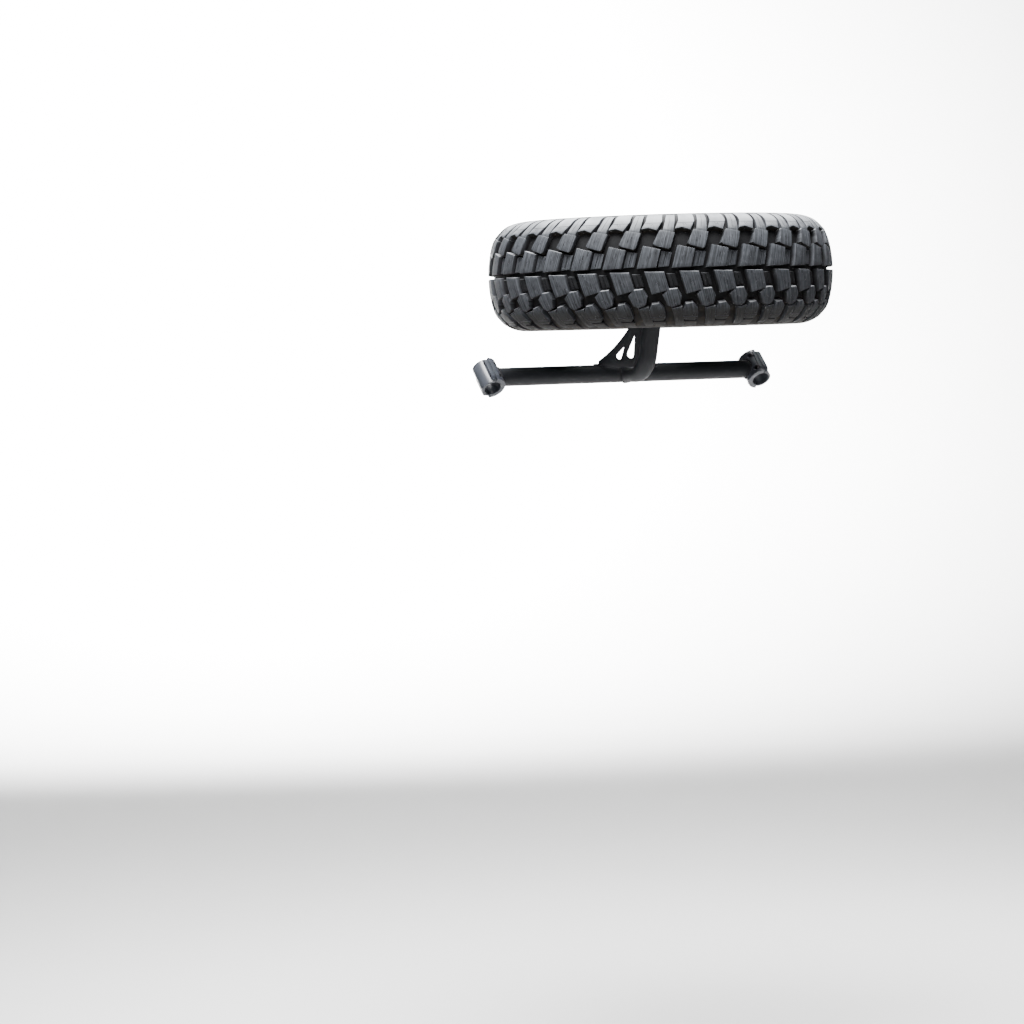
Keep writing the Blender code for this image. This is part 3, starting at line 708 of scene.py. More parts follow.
class Section:
    """The tyre's outer section by distance from the crown, in mm."""

    def __init__(self, lug_height):
        self.path = smooth_path(SECTION, 10)
        self.far = [0.0]
        for a, b in zip(self.path, self.path[1:]):
            self.far.append(self.far[-1] + (b - a).length)
        self.deep = lug_height / MM

    def at(self, s):
        """((radius, height), outward normal) at distance s. Negative s is the lower half."""
        side = -1 if s < 0 else 1
        s = min(abs(s), self.far[-1] - 1e-6)
        i = max(bisect_left(self.far, s), 1)
        t = (s - self.far[i - 1]) / (self.far[i] - self.far[i - 1])
        point = self.path[i - 1].lerp(self.path[i], t)
        along = (self.path[min(i + 1, len(self.path) - 1)] - self.path[max(i - 2, 0)]).normalized()
        return Vector((point.x, side * point.y)), Vector((along.y, -side * along.x))

    def depth(self, s):
        """Depth of the grooves: full on the tread, and running out on the sidewall."""
        s = abs(s)
        if s < CREASE - 8:
            return self.deep
        if s > TREAD_END:
            return 0.0
        t = (s - CREASE + 8) / (TREAD_END - CREASE + 8)
        return self.deep * (1 - t) ** 1.3 + 1.2 * t * (1 - t) * 4

    def wrapped(self, u, s, level):
        """The place of a point u round and s along. Level is 0 on the floor and 1 on a lug's face."""
        point, out = self.at(s)
        offset = -self.depth(s) * (1 - level)
        r = (point.x + out.x * offset) * MM
        z = (point.y + out.y * offset) * MM
        turn = u * MM / (SECTION[0][0] * MM)
        return Vector((r * cos(turn), r * sin(turn), z))


def slit(points, width):
    """A thin closed outline along an open path."""
    left, right = [], []
    for i, point in enumerate(points):
        a, b = Vector(points[max(i - 1, 0)]), Vector(points[min(i + 1, len(points) - 1)])
        along = (b - a).normalized()
        off = Vector((-along.y, along.x)) * width / 2
        left.append(tuple(Vector(point) + off))
        right.append(tuple(Vector(point) - off))
    return left + right[::-1]


def flat_lug(name, corners, top, edge, cuts, cut_depth, draft):
    """A lug on the flat, in mm: sloping sides, a rounded upper edge and narrow cuts."""
    middle = sum((Vector(corner) for corner in corners), Vector((0, 0))) / len(corners)
    bm = bmesh.new()
    low, high = [], []
    for corner in corners:
        out = (Vector(corner) - middle).normalized()
        base = Vector(corner) + out * draft
        low.append(bm.verts.new((base.x, base.y, -1.0)))
        high.append(bm.verts.new((corner[0], corner[1], top)))
    bm.faces.new(low[::-1])
    crown = bm.faces.new(high)
    loft(bm, low, high)
    bm.normal_update()
    bmesh.ops.bevel(
        bm, geom=list(crown.edges), offset=edge, segments=2, profile=0.6, affect="EDGES",
        clamp_overlap=True)
    lug = put(name, bm)
    if cuts:
        cutters = [prism(outline, top - cut_depth, top + 5) for outline in cuts]
        shaped(lug, "DIFFERENCE", *[put(f"{name}_cut_{i}", cutter) for i, cutter in enumerate(cutters)])
    return lug


def pitch_lugs(settings, half):
    """One half's lugs of one pitch, flat, each with its height and how worn its face is, a level that also
    sets the painted shade in the grooves.
    """
    top = settings.lug_height / MM
    edge, wide, deep = settings.edge / MM, settings.sipe / MM, settings.sipe_depth / MM
    zigzag = slit([(23, 20), (25.5, 31), (31, 27), (33.5, 38)], wide)
    vents = [slit([(12, 6), (14.5, 14)], wide), slit([(43, 35), (46, 45)], wide)]
    second = slit([(58, 62), (60.5, 72), (66, 66), (69, 77)], wide)
    fold = slit([(5, 113.4), (66, 113.4)], 1.0)
    step = slit([(31, 112), (33, 104), (38, 110), (40, 103)], 1.0)
    bar = slit([(73, 96), (80, 122), (83, 147)], 0.9)
    tie = slit([(59.5, 11), (68, 39)], 1.6)
    rungs = [((2.5, s), (8.5, s + 0.6), (9.2, s + 2.6), (3.2, s + 2.0)) for s in (99, 104.5, 110)]
    upper = half > 0
    lugs = [
        (CENTRE_LUG, 1.0, 1.0, [zigzag, *vents], deep, 1.6),
        (SECOND_LUG if upper else LOWER_SECOND_LUG, 1.0, 1.0, [second], deep, 1.6),
        (SIDE_BAR, 0.93, 0.8, [bar], deep * 0.5, 0.6),
        (SHOULDER_LUG if upper else LOWER_SHOULDER_LUG, 1.0, 1.0, [fold, step], deep * 0.55, 1.6),
        (TIE_BAR, 0.42, 1.0, [tie], deep, 1.0) if upper
        else (LOWER_TIE_BAR, 0.5, 0.15, [tie], deep, 1.0),
    ]
    lugs += [(rung, 0.35, 0.2, [], 0, 0.3) for rung in rungs]
    if not upper:
        lugs.append((LOWER_SIDE_LUG, 0.9, 0.4, [], 0, 1.0))
    return [
        (flat_lug(f"lug_{i}", corners, top * share, edge * min(share + 0.1, 1.0), cuts, depth, draft),
         top * share, wear_and_shade)
        for i, (corners, share, wear_and_shade, cuts, depth, draft) in enumerate(lugs)]


def sliced(bm, low, high, step, axis):
    """Adds edges across a flat mesh so that it can bend."""
    normal = Vector((1, 0, 0)) if axis == 0 else Vector((0, 1, 0))
    place = low
    while place < high:
        geom = list(bm.verts) + list(bm.edges) + list(bm.faces)
        bmesh.ops.bisect_plane(bm, geom=geom, plane_co=normal * place, plane_no=normal, dist=1e-4)
        place += step


def tread_pitch(settings, section, finish):
    """One pitch of the tread, both halves, wrapped on the section about the wheel's axis."""
    top = settings.lug_height / MM
    whole = bmesh.new()
    face_layer = whole.verts.layers.float.new("lug_face")
    for half, shift in ((1, 0.0), (-1, LOWER_SHIFT)):
        for flat, high, wear_and_shade in pitch_lugs(settings, half):
            bm = bmesh.new()
            bm.from_mesh(flat.data)
            sliced(bm, 0.0, 100.0, 13.0, 0)
            sliced(bm, 13.0, 160.0, 9.0, 1)
            placed = {}
            for vert in bm.verts:
                u, s, h = vert.co
                new = whole.verts.new(section.wrapped(u + shift, half * s, h / top))
                # The lug_face value: the lug's face wear at its top, falling to 0 at the groove floor as
                # painted shade down the sides.
                new[face_layer] = wear_and_shade * min(max(h / high, 0.0), 1.0) ** 3
                placed[vert.index] = new
            for face in bm.faces:
                around = [placed[vert.index] for vert in face.verts]
                whole.faces.new(around if half > 0 else around[::-1])
            bm.free()
            bpy.data.objects.remove(flat, do_unlink=True)
    mesh = baked("tread_pitch", whole)
    smoothed(mesh, 32)
    mesh.materials.append(finish)
    return linked("tread", mesh)


def carcass_profile(section):
    """(radius, height) round the tyre's whole section below the lugs, in metres."""
    rings = ((186.0, 2.2, 0.9), (196.0, 1.4, 0.6), (252.0, 3.5, 1.6), (262.0, 1.4, 0.6))
    outer = []
    s = 0.0
    end = section.far[-1]
    while s < end - 0.5:
        point, out = section.at(s)
        ring = max(high * max(0.0, 1 - ((s - place) / wide) ** 2) for place, wide, high in rings)
        offset = ring * (0.0 if point.y > 127.4 else 1.0) - section.depth(s)
        outer.append(((point.x + out.x * offset) * MM, (point.y + out.y * offset) * MM))
        s += 1.5 if 180 < s < 270 else 3.0
    bead = [
        (0.2136, 0.1014), (0.2094, 0.0990), (0.2084, 0.0930), (0.2082, 0.0886), (0.1920, 0.0884),
        (0.1912, 0.0860), (0.1912, 0.0700), (0.1990, 0.0690), (0.2200, 0.0860), (0.2600, 0.1090),
        (0.3164, 0.1165), (0.3500, 0.1060), (0.3720, 0.0800), (0.3790, 0.0400),
    ]
    upper = outer + bead
    lower = [(r, -z) for r, z in reversed(upper[1:])]
    return upper + [(0.3800, 0.0)] + lower


def build_tyre(settings):
    finish = tyre_rubber()
    section = Section(settings.lug_height)
    tread = tread_pitch(settings, section, finish)
    step = 2 * pi / settings.pitches
    grown(tread, ring_tree(), Count=settings.pitches, Step=step, Start=settings.start,
          Centre=tuple(HUB), Finish=finish)
    carcass = put("tyre_carcass", turned(carcass_profile(section), 256), finish, AT_HUB)
    level = carcass.data.attributes.new("lug_face", "FLOAT", "POINT")
    # lug_face 0.12 on the bare sidewall, a little scuffed; 0 on the carcass between the lugs, whose darkest
    # colour is painted groove shade.
    for i, vert in enumerate(carcass.data.vertices):
        out = (vert.co - HUB).xy.length
        level.data[i].value = 0.12 if out < SIDEWALL_R else 0.0
    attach(carcass, "wheel")
    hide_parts("tyre")
    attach(tread, "wheel")


# ---------------------------------------------------------------- wheel

def rim_profile():
    """(radius, height above the mid-plane) round the section of the rim and its disc."""
    seat, flange, half = RIM_SEAT, RIM_SEAT + RIM_FLANGE, RIM_HALF
    well = seat - RIM_DROP
    lip = half + RIM_LIP
    inner = seat - RIM_WALL
    face, top = WHEEL_OFFSET, WHEEL_OFFSET + DISC_THICK
    curl = 0.0035
    outside = [
        (inner + 0.001, -lip), (flange - curl, -lip), (flange - 0.0010, 0.0010 - lip),
        (flange, curl - lip), (flange - 0.0010, curl + 0.0022 - lip), (flange - curl, -half),
        (seat + 0.001, -half),
        (seat, 0.001 - half), (seat - 0.001, 0.021 - half), (well + 0.002, 0.037 - half),
        (well, 0.042 - half), (well, -0.018), (seat - 0.003, 0.030), (seat - 0.001, half - 0.021),
        (seat, half - 0.001), (seat + 0.001, half), (flange - curl, half),
        (flange - 0.0010, lip - curl - 0.0022), (flange, lip - curl), (flange - 0.0010, lip - 0.0010),
        (flange - curl, lip), (inner + 0.001, lip),
    ]
    inside = [
        (inner, lip - 0.001), (inner - 0.0005, top + 0.009), (inner - 0.0035, top + 0.0035),
        (inner - 0.0125, top), (CENTRE_BORE + 0.001, top), (CENTRE_BORE, top - 0.001),
        (CENTRE_BORE, face + 0.001), (CENTRE_BORE + 0.001, face), (inner - 0.024, face),
        (inner - 0.0165, face - 0.005), (well - RIM_WALL, -0.020), (well - RIM_WALL, 0.042 - half),
        (inner - 0.001, 0.019 - half), (inner, 0.001 - lip),
    ]
    return outside + inside


def build_rim(settings, finish):
    rim = put("wheel_rim_cast", turned(rim_profile(), 160), finish)
    inside, outside = STUD_RING + 0.034, RIM_SEAT - RIM_WALL - 0.025
    corner, narrow = 0.009, 0.80
    mid, half_long = (inside + outside) / 2, (outside - inside) / 2
    half_wide = mid * sin(radians(13.5))
    outline = []
    for x, y in rounded_rectangle(half_long, half_wide, corner, 7):
        outline.append((mid + x, y * (1 + x / half_long * (1 - narrow))))
    cutters = []
    for i in range(settings.windows):
        turn = Matrix.Rotation(2 * pi * (i + 0.5) / settings.windows, 4, "Z")
        cutters.append(put(f"window_{i}", prism(outline, 0.010, 0.080, turn)))
    top = WHEEL_OFFSET + DISC_THICK
    cone = NUT_CONE_R + GAP
    lug = [
        (0, 0), (LUG_HOLE_R, 0), (LUG_HOLE_R, top - (cone - LUG_HOLE_R) * sqrt(3)), (cone, top),
        (cone + 0.0005, top + 0.02), (0, top + 0.02),
    ]
    for i, (x, y) in enumerate(stud_places(settings.studs)):
        cutters.append(put(f"lug_hole_{i}", turned(lug, 32), None, Matrix.Translation((x, y, 0))))
    cutters.append(put("valve_hole", rod(0.00575, -0.017, 0.017), None, valve_frame()))
    shaped(rim, "DIFFERENCE", *cutters)
    rounded(rim, settings.edge * 0.6, 2, 50)
    rim.data.transform(AT_HUB)
    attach(rim, "wheel")
    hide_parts("wheel_rim")


def stud_places(count):
    turns = [2 * pi * (i + 0.5) / count for i in range(count)]
    return [(STUD_RING * cos(a), STUD_RING * sin(a)) for a in turns]


def valve_frame():
    """The stem's axis: from the barrel towards the wheel's axis and outboard. It is about the hub."""
    spot = Vector((-(RIM_SEAT - 0.001) + RIM_WALL / 2, 0, WHEEL_OFFSET + DISC_THICK + 0.0055))
    return Matrix.Translation(spot) @ Matrix.Rotation(radians(90 - VALVE_TILT), 4, "Y")


def build_nuts(settings, finish):
    """A closed hexagon nut with a cone seat, one on each stud."""
    corner = NUT_AF / sqrt(3)
    flat = NUT_AF / 2
    dome = [
        (0, -0.001), (flat, -0.001), (flat + 0.0004, 0.0006), (corner + 0.001, 0.0030),
        (corner + 0.001, NUT_HEIGHT - 0.0062), (flat + 0.0002, NUT_HEIGHT - 0.0038),
        (flat - 0.0012, NUT_HEIGHT - 0.0014), (flat - 0.0040, NUT_HEIGHT - 0.0002), (0, NUT_HEIGHT),
    ]
    tip = NUT_CONE_R - 0.0065 / sqrt(3)
    cone = [(0, -0.0065), (tip, -0.0065), (NUT_CONE_R, 0), (NUT_CONE_R, 0.002), (0, 0.002)]
    bore = [(0, -0.013), (STUD_OD / 2 + GAP, -0.013), (STUD_OD / 2 + GAP, 0.0265), (0, 0.0265)]
    hexagon = [(0, 0.0004), (corner, 0.0004), (corner, NUT_HEIGHT), (0, NUT_HEIGHT)]
    nut = put("nut", turned(hexagon, 6), finish)
    shaped(nut, "INTERSECT", put("dome", turned(dome, 48)))
    shaped(nut, "UNION", put("cone", turned(cone, 48)))
    shaped(nut, "DIFFERENCE", put("bore", turned(bore, 32)))
    rounded(nut, 0.00025, 1, 25)
    for number, (x, y) in enumerate(stud_places(settings.studs), 1):
        mesh = nut.data.copy()
        mesh.transform(Matrix.Translation(HUB + Vector((x, y, WHEEL_OFFSET + DISC_THICK))))
        each = linked(f"lug_nut_closed_{number}", mesh)
        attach(each, f"nut_{number}")
        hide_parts(f"lug_nut_{number}")
    bpy.data.objects.remove(nut, do_unlink=True)


def build_cap_and_valve(black, rubber, lid):
    top = WHEEL_OFFSET + DISC_THICK
    bore = CENTRE_BORE
    skirt = WHEEL_OFFSET + 0.003
    cap = put("centre_cap_domed", turned([
        (0, top + 0.0100), (0.020, top + 0.0099), (bore - 0.012, top + 0.0094), (bore - 0.006, top + 0.0080),
        (bore - 0.002, top + 0.0060), (bore + 0.0030, top + 0.0036), (bore + 0.0038, top + 0.0030),
        (bore + 0.004, top + 0.0024), (bore + 0.004, top + GAP), (bore - GAP, top + GAP),
        (bore - GAP, skirt), (bore - 0.0025, skirt), (bore - 0.0025, top + 0.002),
        (bore - 0.011, top + 0.0072), (0, top + 0.0072),
    ], 96), black, AT_HUB)
    rings = []
    for i, r in enumerate((0.018, 0.036)):
        left, right = r - 0.0007, r + 0.0007
        groove = [(left, top + 0.0094), (r, top + 0.0087), (right, top + 0.0094),
                  (right, top + 0.02), (left, top + 0.02)]
        rings.append(put(f"cap_ring_{i}", turned(groove, 96), None, AT_HUB))
    shaped(cap, "DIFFERENCE", *rings)
    stem = put("valve_stem_rubber", turned([
        (0, -0.0085), (0.0036, -0.0085), (0.0045, -0.0078), (0.00545, -0.0068), (0.00545, 0.0070),
        (0.0052, 0.0078), (0.0047, 0.0098), (0.0044, 0.0150), (0.0044, 0.0210), (0.0040, 0.0230),
        (0.0040, 0.0240), (0.0024, 0.0240), (0.0024, 0.0320), (0, 0.0320),
    ], 32), rubber, AT_HUB @ valve_frame())
    low, high = 0.0243, 0.0350
    knurl = put("valve_cap_knurled", turned([
        (0, 0.0323), (0.0027, 0.0323), (0.0027, low), (0.0042, low), (0.0045, low + 0.0004),
        (0.0045, high - 0.0015), (0.0041, high - 0.0005), (0.0034, high), (0, high),
    ], 40), lid)
    notch = put("valve_notch", prism(arc(0.0047, 0, 0.00045, 0, 315, 7), low - 0.001, high - 0.0012))
    grown(notch, ring_tree(), Count=16, Step=2 * pi / 16, Start=0.0, Centre=(0.0, 0.0, 0.0), Finish=lid)
    shaped(knurl, "DIFFERENCE", notch)
    knurl.data.transform(AT_HUB @ valve_frame())
    for obj, body, node, slot in (
            (cap, "wheel", "centre_cap", "cap_plastic"), (stem, "wheel", "valve_stem", "valve_rubber"),
            (knurl, "valve_cap", "valve_cap", "cap_plastic")):
        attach(obj, body)
        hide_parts(node)


def build_wheel(settings):
    zinc = metal("zinc plate", (0.56, 0.56, 0.57), 0.30)
    build_rim(settings, cast_paint())
    build_nuts(settings, zinc)
    build_cap_and_valve(plastic(), plastic(), plastic())


# ---------------------------------------------------------------- steelwork

def arm_centres(top):
    """The arm's centre line: level out of the crossbar, one bend, then straight up to height top."""
    turn = pi / 2 - LEAN
    start = CORNER_Y + BEND_RADIUS * tan(turn / 2)
    centres = [Vector((0, 0, 0)), Vector((0, start, 0))]
    steps = 32
    for i in range(1, steps + 1):
        a = turn * i / steps
        centres.append(Vector((0, start - BEND_RADIUS * sin(a), BEND_RADIUS * (1 - cos(a)))))
    centres.append(Vector((0, CORNER_Y, 0)) + UP_ARM * (top / cos(LEAN)))
    return centres


def leg_frame(side):
    """Z runs up a leg and X along the crossbar."""
    lean = Matrix.Rotation(radians(LEG_SLOPE - 90), 4, "X")
    return Matrix.Translation((side * LEG_SPACING / 2, 0, 0)) @ lean


def web_frame(side):
    """The plane through the arm's upper axis and a toe on the crossbar, as a matrix, width and skew."""
    corner = Vector((0, CORNER_Y, 0))
    run = Vector((side * WEB_FOOT, 0, 0)) - corner
    skew = run.dot(UP_ARM)
    out = run - skew * UP_ARM
    width = out.length
    out.normalize()
    frame_of = Matrix((out, UP_ARM, out.cross(UP_ARM))).transposed().to_4x4()
    frame_of.translation = corner
    return frame_of, width, skew


def web_point(share, height, width, skew):
    """A place in a web's plane: a share of the way to its toe, and a height above the crossbar's axis."""
    return (share * width, height / cos(LEAN) + share * skew)


def build_web(side, steel, settings):
    tube_r = settings.tube_od / 2
    frame_of, width, skew = web_frame(side)
    start = Vector((1, tube_r + 0.0094))
    pull = Vector((0.305, tube_r + 0.0716))
    end = Vector((0.131, WEB_TOP))
    outline = [(0, tube_r - WEB_DIP), (1, tube_r - WEB_DIP)]
    steps = 28
    for i in range(steps + 1):
        t = i / steps
        point = (1 - t) ** 2 * start + 2 * t * (1 - t) * pull + t * t * end
        outline.append((point.x, point.y))
    outline.append((0, end.y))
    flat = [web_point(share, height, width, skew) for share, height in outline]
    half = WEB_THICK / 2
    word = "left" if side < 0 else "right"
    web = put(f"{word}_web_plate", prism(flat, -half, half, frame_of), steel)
    cutters = []
    for share, height, radius, tip_share, tip_height in (
            (0.360, 0.0223, 0.0090, 0.316, 0.0710), (0.592, 0.0183, 0.0070, 0.502, 0.0425)):
        centre = web_point(share, tube_r + height, width, skew)
        tip = web_point(tip_share, tube_r + tip_height, width, skew)
        drop = prism(teardrop(*centre, radius, *tip), -3 * half, 3 * half, frame_of)
        cutters.append(put("window", drop))
    cutters.append(put("bar", rod(tube_r, -LEG_SPACING, LEG_SPACING, SIDES), None, LEVEL))
    cutters.append(put("arm", swept(arm_centres(PLATE_TOP), (tube_r,))))
    shaped(web, "DIFFERENCE", *cutters)
    rounded(web, settings.edge, 2, 50)
    return web


def build_tubes(steel, settings):
    tube_r = settings.tube_od / 2
    half, inner = LEG_SPACING / 2, tube_r - TUBE_WALL
    profile = [(tube_r, -half), (tube_r, half), (inner, half), (inner, -half)]
    bar = put("crossbar_coped", turned(profile, SIDES), steel, LEVEL)
    shaped(bar, "DIFFERENCE", *[
        put(f"cope_{side}", rod(SADDLE_R, -2 * CLAMP_HALF, 2 * CLAMP_HALF, 72), None, leg_frame(side))
        for side in (-1, 1)])
    under = PLATE_TOP - PLATE_THICK - GAP
    arm = put("arm_bent", swept(arm_centres(under + 2 * tube_r), (tube_r, inner)), steel)
    big = 2 * tube_r
    square = [(-big, -big), (big, -big), (big, big), (-big, big)]
    shaped(
        arm, "DIFFERENCE",
        put("bar", rod(tube_r, -big, big, SIDES), None, LEVEL),
        put("above", prism(square, under, under + 2 * big), None, Matrix.Translation((0, -REACH, 0))),
        put("inside", prism(square, -big, big), None, Matrix.Translation((0, big, 0))))
    return bar, arm


def build_plate(steel, zinc, studs):
    """The mounting plate and its pressed-in studs."""
    r, edge = PLATE_R, 0.0011
    plate = put("mount_plate_round", turned([
        (0, -PLATE_THICK), (r - edge, -PLATE_THICK), (r - 0.3 * edge, 0.3 * edge - PLATE_THICK),
        (r, edge - PLATE_THICK), (r, -edge), (r - 0.3 * edge, -0.3 * edge), (r - edge, 0), (0, 0),
    ], 128), steel, Matrix.Translation((0, -REACH, PLATE_TOP)))
    foot = -PLATE_THICK - GAP - 0.005
    tip = GAP + DISC_THICK + NUT_HEIGHT - 0.0043
    crest = STUD_OD / 2
    root = crest - 0.0006
    profile = [
        (0, foot), (0.0098, foot), (0.0105, foot + 0.0008), (0.0105, foot + 0.005), (crest, foot + 0.005)]
    height = -PLATE_THICK
    while height < tip - 0.0030:
        profile += [(crest, height), (crest, height + 0.0004)]
        profile += [(root, height + 0.0009), (root, height + 0.0011)]
        height += 0.0015
    profile += [(root, tip - 0.0012), (crest - 0.0014, tip), (0, tip)]
    stud = put("wheel_studs_threaded", turned(profile, 32), zinc, Matrix.Translation((STUD_RING, 0, 0)))
    grown(stud, ring_tree(), Count=studs, Step=2 * pi / studs, Start=pi / studs,
          Centre=(0, -REACH, PLATE_TOP), Finish=zinc)
    return plate, stud


def path_object(name, points, closed):
    """An object of edges alone, one after another."""
    bm = bmesh.new()
    verts = [bm.verts.new(point) for point in points]
    for pair in zip(verts, verts[1:]):
        bm.edges.new(pair)
    if closed:
        bm.edges.new((verts[-1], verts[0]))
    return linked(name, baked(name, bm))


def weld_paths(settings):
    """(points, closed) of each bead: round the copes, along the webs and under the plate."""
    r = settings.tube_od / 2
    turns = [2 * pi * i / SIDES for i in range(SIDES)]
    paths = [([Vector((r * cos(a), -r * abs(cos(a)), r * sin(a))) for a in turns], True)]
    for side in (-1, 1):
        ring = []
        for a in turns:
            off = r * sin(a - radians(LEG_SLOPE))
            x = LEG_SPACING / 2 - sqrt(SADDLE_R ** 2 - off ** 2)
            ring.append(Vector((side * x, r * cos(a), r * sin(a))))
        paths.append((ring, True))
        plane = web_frame(side)[0]
        out, up, face = (plane.col[i].xyz for i in range(3))
        corner = plane.translation
        low = asin((r - WEB_DIP) / r)
        for off in (-WEB_THICK / 2, WEB_THICK / 2):
            foot = corner + face * off
            line = [foot + out * sqrt(r * r - off * off) + up * h / cos(LEAN)
                    for h in (0.046, 0.080, 0.120, 0.160, 0.200, PLATE_TOP - 0.039)]
            paths.append((line, False))
            along = []
            for i in range(13):
                a = pi - low + (pi / 2 - pi + low) * i / 12
                y, z = r * cos(a), r * sin(a)
                x = foot.x - (face.y * (y - foot.y) + face.z * (z - foot.z)) / face.x
                along.append(Vector((x, y, z)))
            paths.append((along, False))
    under = PLATE_TOP - PLATE_THICK - GAP
    centre = Vector((0, CORNER_Y, 0)) + UP_ARM * (under / cos(LEAN))
    paths.append(([centre + Vector((r * cos(a), r * sin(a) / cos(LEAN), 0)) for a in turns], True))
    return paths


def build_welds(steel, settings):
    """All the beads, as one piece on the carrier."""
    beads = []
    tree = bead_tree()
    for i, (points, closed) in enumerate(weld_paths(settings)):
        bead = path_object(f"bead_{i}", points, closed)
        grown(bead, tree, Ripple=settings.ripple, Width=settings.bead, Finish=steel)
        beads.append(bead)
    return joined("weld_beads", beads)


def build_steel(settings, studs):
    steel = powder_coat()
    zinc = metal("zinc plated studs", (0.52, 0.52, 0.53), 0.34)
    bar, arm = build_tubes(steel, settings)
    plate, stud = build_plate(steel, zinc, studs)
    pieces = [
        (bar, ["crossbar_tube"], "powder_coat"), (arm, ["arm_tube"], "powder_coat"),
        (build_web(-1, steel, settings), ["left_arm_web"], "powder_coat"),
        (build_web(1, steel, settings), ["right_arm_web"], "powder_coat"),
        (plate, ["mount_plate"], "powder_coat"),
        (stud, [f"wheel_stud_{i}" for i in range(1, studs + 1)], "zinc_plated"),
        (build_welds(steel, settings), [], "powder_coat"),
    ]
    for obj, nodes, slot in pieces:
        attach(obj, "carrier")
        if nodes:
            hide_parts(*nodes)


# ---------------------------------------------------------------- clamps

def clamp_half(name, coat, facing, radius):
    """facing is +1 for the half on the +X side of the split. Built about the leg's axis."""
    long = CLAMP_HALF - CLAMP_TRIM
    body = put(name, rod(radius - CLAMP_TRIM, -long, long, SIDES), coat)
    ear_turn = Matrix(((0, 0, 1, 0), (1, 0, 0, 0), (0, 1, 0, 0), (0, 0, 0, 1)))
    outline = rounded_rectangle(EAR_REACH - CLAMP_TRIM, long, EAR_CORNER)
    shaped(body, "UNION", put("ears", prism(outline, -EAR_THICK, EAR_THICK, ear_turn)))
    span = 3 * EAR_REACH
    away = [(facing * (x - span + CLAMP_SPLIT / 2), y) for x, y in
            ((-span, -span), (span, -span), (span, span), (-span, span))]
    far = 0.08
    cutters = [put("bore", rod(LEG_R, -far, far, SIDES)), put("split", prism(away, -far, far))]
    shaped(body, "DIFFERENCE", *cutters)
    return rounded(body, 0.0011, 3, 35)


def clamp_bolt(finish, inward):
    """A socket head screw, its head towards the crossbar, at the middle of the clamp."""
    head, high, bevel = 0.005, 0.006, 0.0006
    shank = 2 * EAR_THICK - 0.001
    bolt = put("bolt", turned([
        (0, -shank), (0.0026, -shank), (0.003, 0.0006 - shank), (0.003, 0), (head, 0),
        (head, high - bevel), (head - 0.3 * bevel, high - 0.3 * bevel), (head - bevel, high), (0, high),
    ], 40), finish)
    socket_r = 0.005 / sqrt(3)
    hexagon = [(0, high - 0.003), (socket_r, high - 0.003), (socket_r, high + 0.01), (0, high + 0.01)]
    shaped(bolt, "DIFFERENCE", put("socket", turned(hexagon, 6)))
    facing = Matrix.Rotation(inward * pi / 2, 4, "Y")
    bolt.data.transform(Matrix.Translation((inward * (EAR_THICK + GAP), 0, 0)) @ facing)
    return bolt


def build_clamps():
    coat = clamp_coat()
    black = metal("black oxide", (0.10, 0.10, 0.105), 0.36)
    bolts = []
    for side in (-1, 1):
        word = "left" if side < 0 else "right"
        inward = -side
        for part, facing, radius in (("saddle", inward, SADDLE_R), ("cap", side, CAP_R)):
            half = clamp_half(f"{word}_{part}_cast", coat, facing, radius)
            pocket = rod(0.0064, EAR_THICK, 0.05, 32)
            spot = put("pockets", pocket, None, Matrix.Rotation(inward * pi / 2, 4, "Y"))
            spread_grid(spot)
            shank = put("shanks", rod(0.0034, -0.05, 0.05, 32), None, LEVEL)
            spread_grid(shank)
            shaped(half, "DIFFERENCE", spot, shank)
            half.data.transform(leg_frame(side))
            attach(half, "carrier")
            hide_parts(f"{word}_clamp_{part}")
        bolt = clamp_bolt(black, inward)
        spread_grid(bolt, black)
        bolt.data.transform(leg_frame(side))
        bolts.append(bolt)
    screws = joined("clamp_screws", bolts)
    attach(screws, "carrier")
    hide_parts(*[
        f"{word}_clamp_bolt_{ear}_{end}" for word in ("left", "right") for ear in ("front", "rear")
        for end in ("lower", "upper")])


def spread_grid(obj, finish=None):
    """Four copies at a clamp's bolt places. The grid lies in the plane of the split."""
    obj.data.transform(LEVEL.inverted())
    grown(obj, place_tree(), Across=BOLT_PITCH, Along=2 * BOLT_OFFSET, Finish=finish)
    obj.data.transform(LEVEL)


# ---------------------------------------------------------------- studio

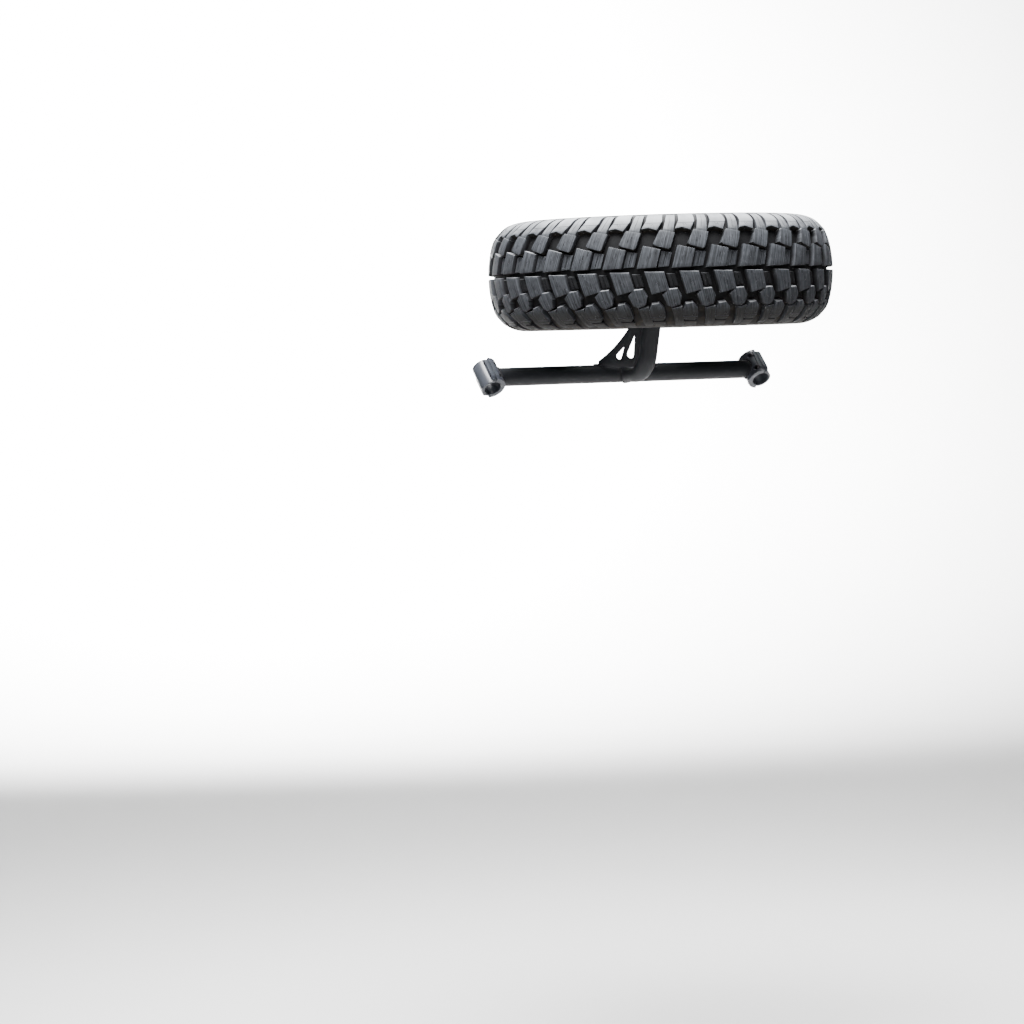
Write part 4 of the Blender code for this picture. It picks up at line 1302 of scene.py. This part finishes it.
def build_stage(settings):
    """A floor that curves up into a wall, an even sky, three lamps and the camera."""
    scene = bpy.context.scene
    low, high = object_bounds()
    middle = (low + high) / 2
    bm = bmesh.new()
    span, back, rise, steps = 14.0, 6.0, 5.0, 16
    rows = [(-span, 0.0), (back, 0.0)]
    for i in range(1, steps + 1):
        turn = pi / 2 * i / steps
        rows.append((back + rise * sin(turn), rise * (1 - cos(turn))))
    rows.append((back + rise, 9.0))
    strip = [[bm.verts.new((x, y, z + settings.floor)) for x in (-span, span)] for y, z in rows]
    for a, b in zip(strip, strip[1:]):
        bm.faces.new((a[0], a[1], b[1], b[0]))
    floor = put("studio_floor", bm, floor_paint())
    floor.data.transform(Matrix.Rotation(radians(-28), 4, "Z"))
    floor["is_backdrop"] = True
    world = bpy.data.worlds.new("studio")
    world.use_nodes = True
    sky = world.node_tree.nodes["Background"]
    sky.inputs["Color"].default_value = (0.93, 0.96, 1.0, 1.0)
    sky.inputs["Strength"].default_value = settings.sky
    scene.world = world
    for name, place, aim, size, power in (
            ("overhead", (-0.5, -0.3, 3.2), (0, 0, 0), 3.0, settings.key),
            ("left_fill", (-4.2, -3.0, 2.6), (0, 0, 0), 1.2, settings.key * 0.10),
            ("backdrop", (1.0, 5.6, 3.6), (4.0, 10.6, -0.6), 3.4, settings.wash)):
        light = bpy.data.lights.new(name, "AREA")
        light.size = size
        light.energy = power
        light.spread = radians(100)
        lamp = linked(name, light)
        lamp.location = middle + Vector(place)
        lamp.rotation_euler = (Vector(aim) - Vector(place)).to_track_quat("-Z", "Y").to_euler()
    add_camera(scene)


def add_camera(scene):
    """A long lens from behind, to the left and about level with the crossbar."""
    place = (-4.217, -7.316, 0.075)
    yaw, pitch, roll = radians(28.06), radians(-2.73), radians(-1.65)
    ahead = Vector((sin(yaw) * cos(pitch), cos(yaw) * cos(pitch), sin(pitch)))
    level = Vector((cos(yaw), -sin(yaw), 0))
    above = level.cross(ahead)
    right = cos(roll) * level + sin(roll) * above
    up = cos(roll) * above - sin(roll) * level
    lens = bpy.data.cameras.new("camera")
    lens.sensor_width = 36.0
    lens.lens = 123.0
    lens.clip_end = 100.0
    camera = linked("camera", lens)
    facing = Matrix((right, up, -ahead)).transposed().to_4x4()
    camera.matrix_world = Matrix.Translation(place) @ facing
    scene.camera = camera


# ---------------------------------------------------------------- operators and panel

class BuildTyre(bpy.types.Operator):
    """Build the tyre's carcass and its lugs"""

    bl_idname = "carrier.build_tyre"
    bl_label = "Build tyre"

    def execute(self, context):
        build_tyre(context.scene.carrier_tyre)
        return {"FINISHED"}


class BuildWheel(bpy.types.Operator):
    """Build the rim, the lug nuts, the centre cap and the valve"""

    bl_idname = "carrier.build_wheel"
    bl_label = "Build wheel"

    def execute(self, context):
        build_wheel(context.scene.carrier_wheel)
        return {"FINISHED"}


class BuildSteel(bpy.types.Operator):
    """Build the crossbar, the arm, the webs, the plate with its studs, and the welds"""

    bl_idname = "carrier.build_steel"
    bl_label = "Build steelwork"

    def execute(self, context):
        build_steel(context.scene.carrier_steel, context.scene.carrier_wheel.studs)
        return {"FINISHED"}


class BuildClamps(bpy.types.Operator):
    """Build the two leg clamps and their bolts"""

    bl_idname = "carrier.build_clamps"
    bl_label = "Build clamps"

    def execute(self, context):
        build_clamps()
        return {"FINISHED"}


class BuildStage(bpy.types.Operator):
    """Set up the floor, the lights and the camera"""

    bl_idname = "carrier.build_stage"
    bl_label = "Build studio"

    def execute(self, context):
        build_stage(context.scene.carrier_stage)
        return {"FINISHED"}


class CarrierPanel(bpy.types.Panel):
    bl_label = "Spare Tyre Carrier"
    bl_idname = "VIEW3D_PT_carrier"
    bl_space_type = "VIEW_3D"
    bl_region_type = "UI"
    bl_category = "Carrier"

    def draw(self, context):
        scene = context.scene
        for settings, operators in (
                (scene.carrier_tyre, [BuildTyre]), (scene.carrier_wheel, [BuildWheel]),
                (scene.carrier_steel, [BuildSteel, BuildClamps]), (scene.carrier_stage, [BuildStage])):
            box = self.layout.box()
            for word in settings.__annotations__:
                box.prop(settings, word)
            for operator in operators:
                box.operator(operator.bl_idname)


CLASSES = (
    TyreSettings, WheelSettings, SteelSettings, StageSettings,
    BuildTyre, BuildWheel, BuildSteel, BuildClamps, BuildStage, CarrierPanel,
)


def register():
    for part in CLASSES:
        bpy.utils.register_class(part)
    bpy.types.Scene.carrier_tyre = PointerProperty(type=TyreSettings)
    bpy.types.Scene.carrier_wheel = PointerProperty(type=WheelSettings)
    bpy.types.Scene.carrier_steel = PointerProperty(type=SteelSettings)
    bpy.types.Scene.carrier_stage = PointerProperty(type=StageSettings)


def unregister():
    del bpy.types.Scene.carrier_tyre
    del bpy.types.Scene.carrier_wheel
    del bpy.types.Scene.carrier_steel
    del bpy.types.Scene.carrier_stage
    for part in reversed(CLASSES):
        bpy.utils.unregister_class(part)


def main():
    register()
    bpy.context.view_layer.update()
    bpy.ops.carrier.build_tyre()
    bpy.ops.carrier.build_wheel()
    bpy.ops.carrier.build_steel()
    bpy.ops.carrier.build_clamps()
    bpy.ops.carrier.build_stage()


if __name__ == "__main__":
    main()
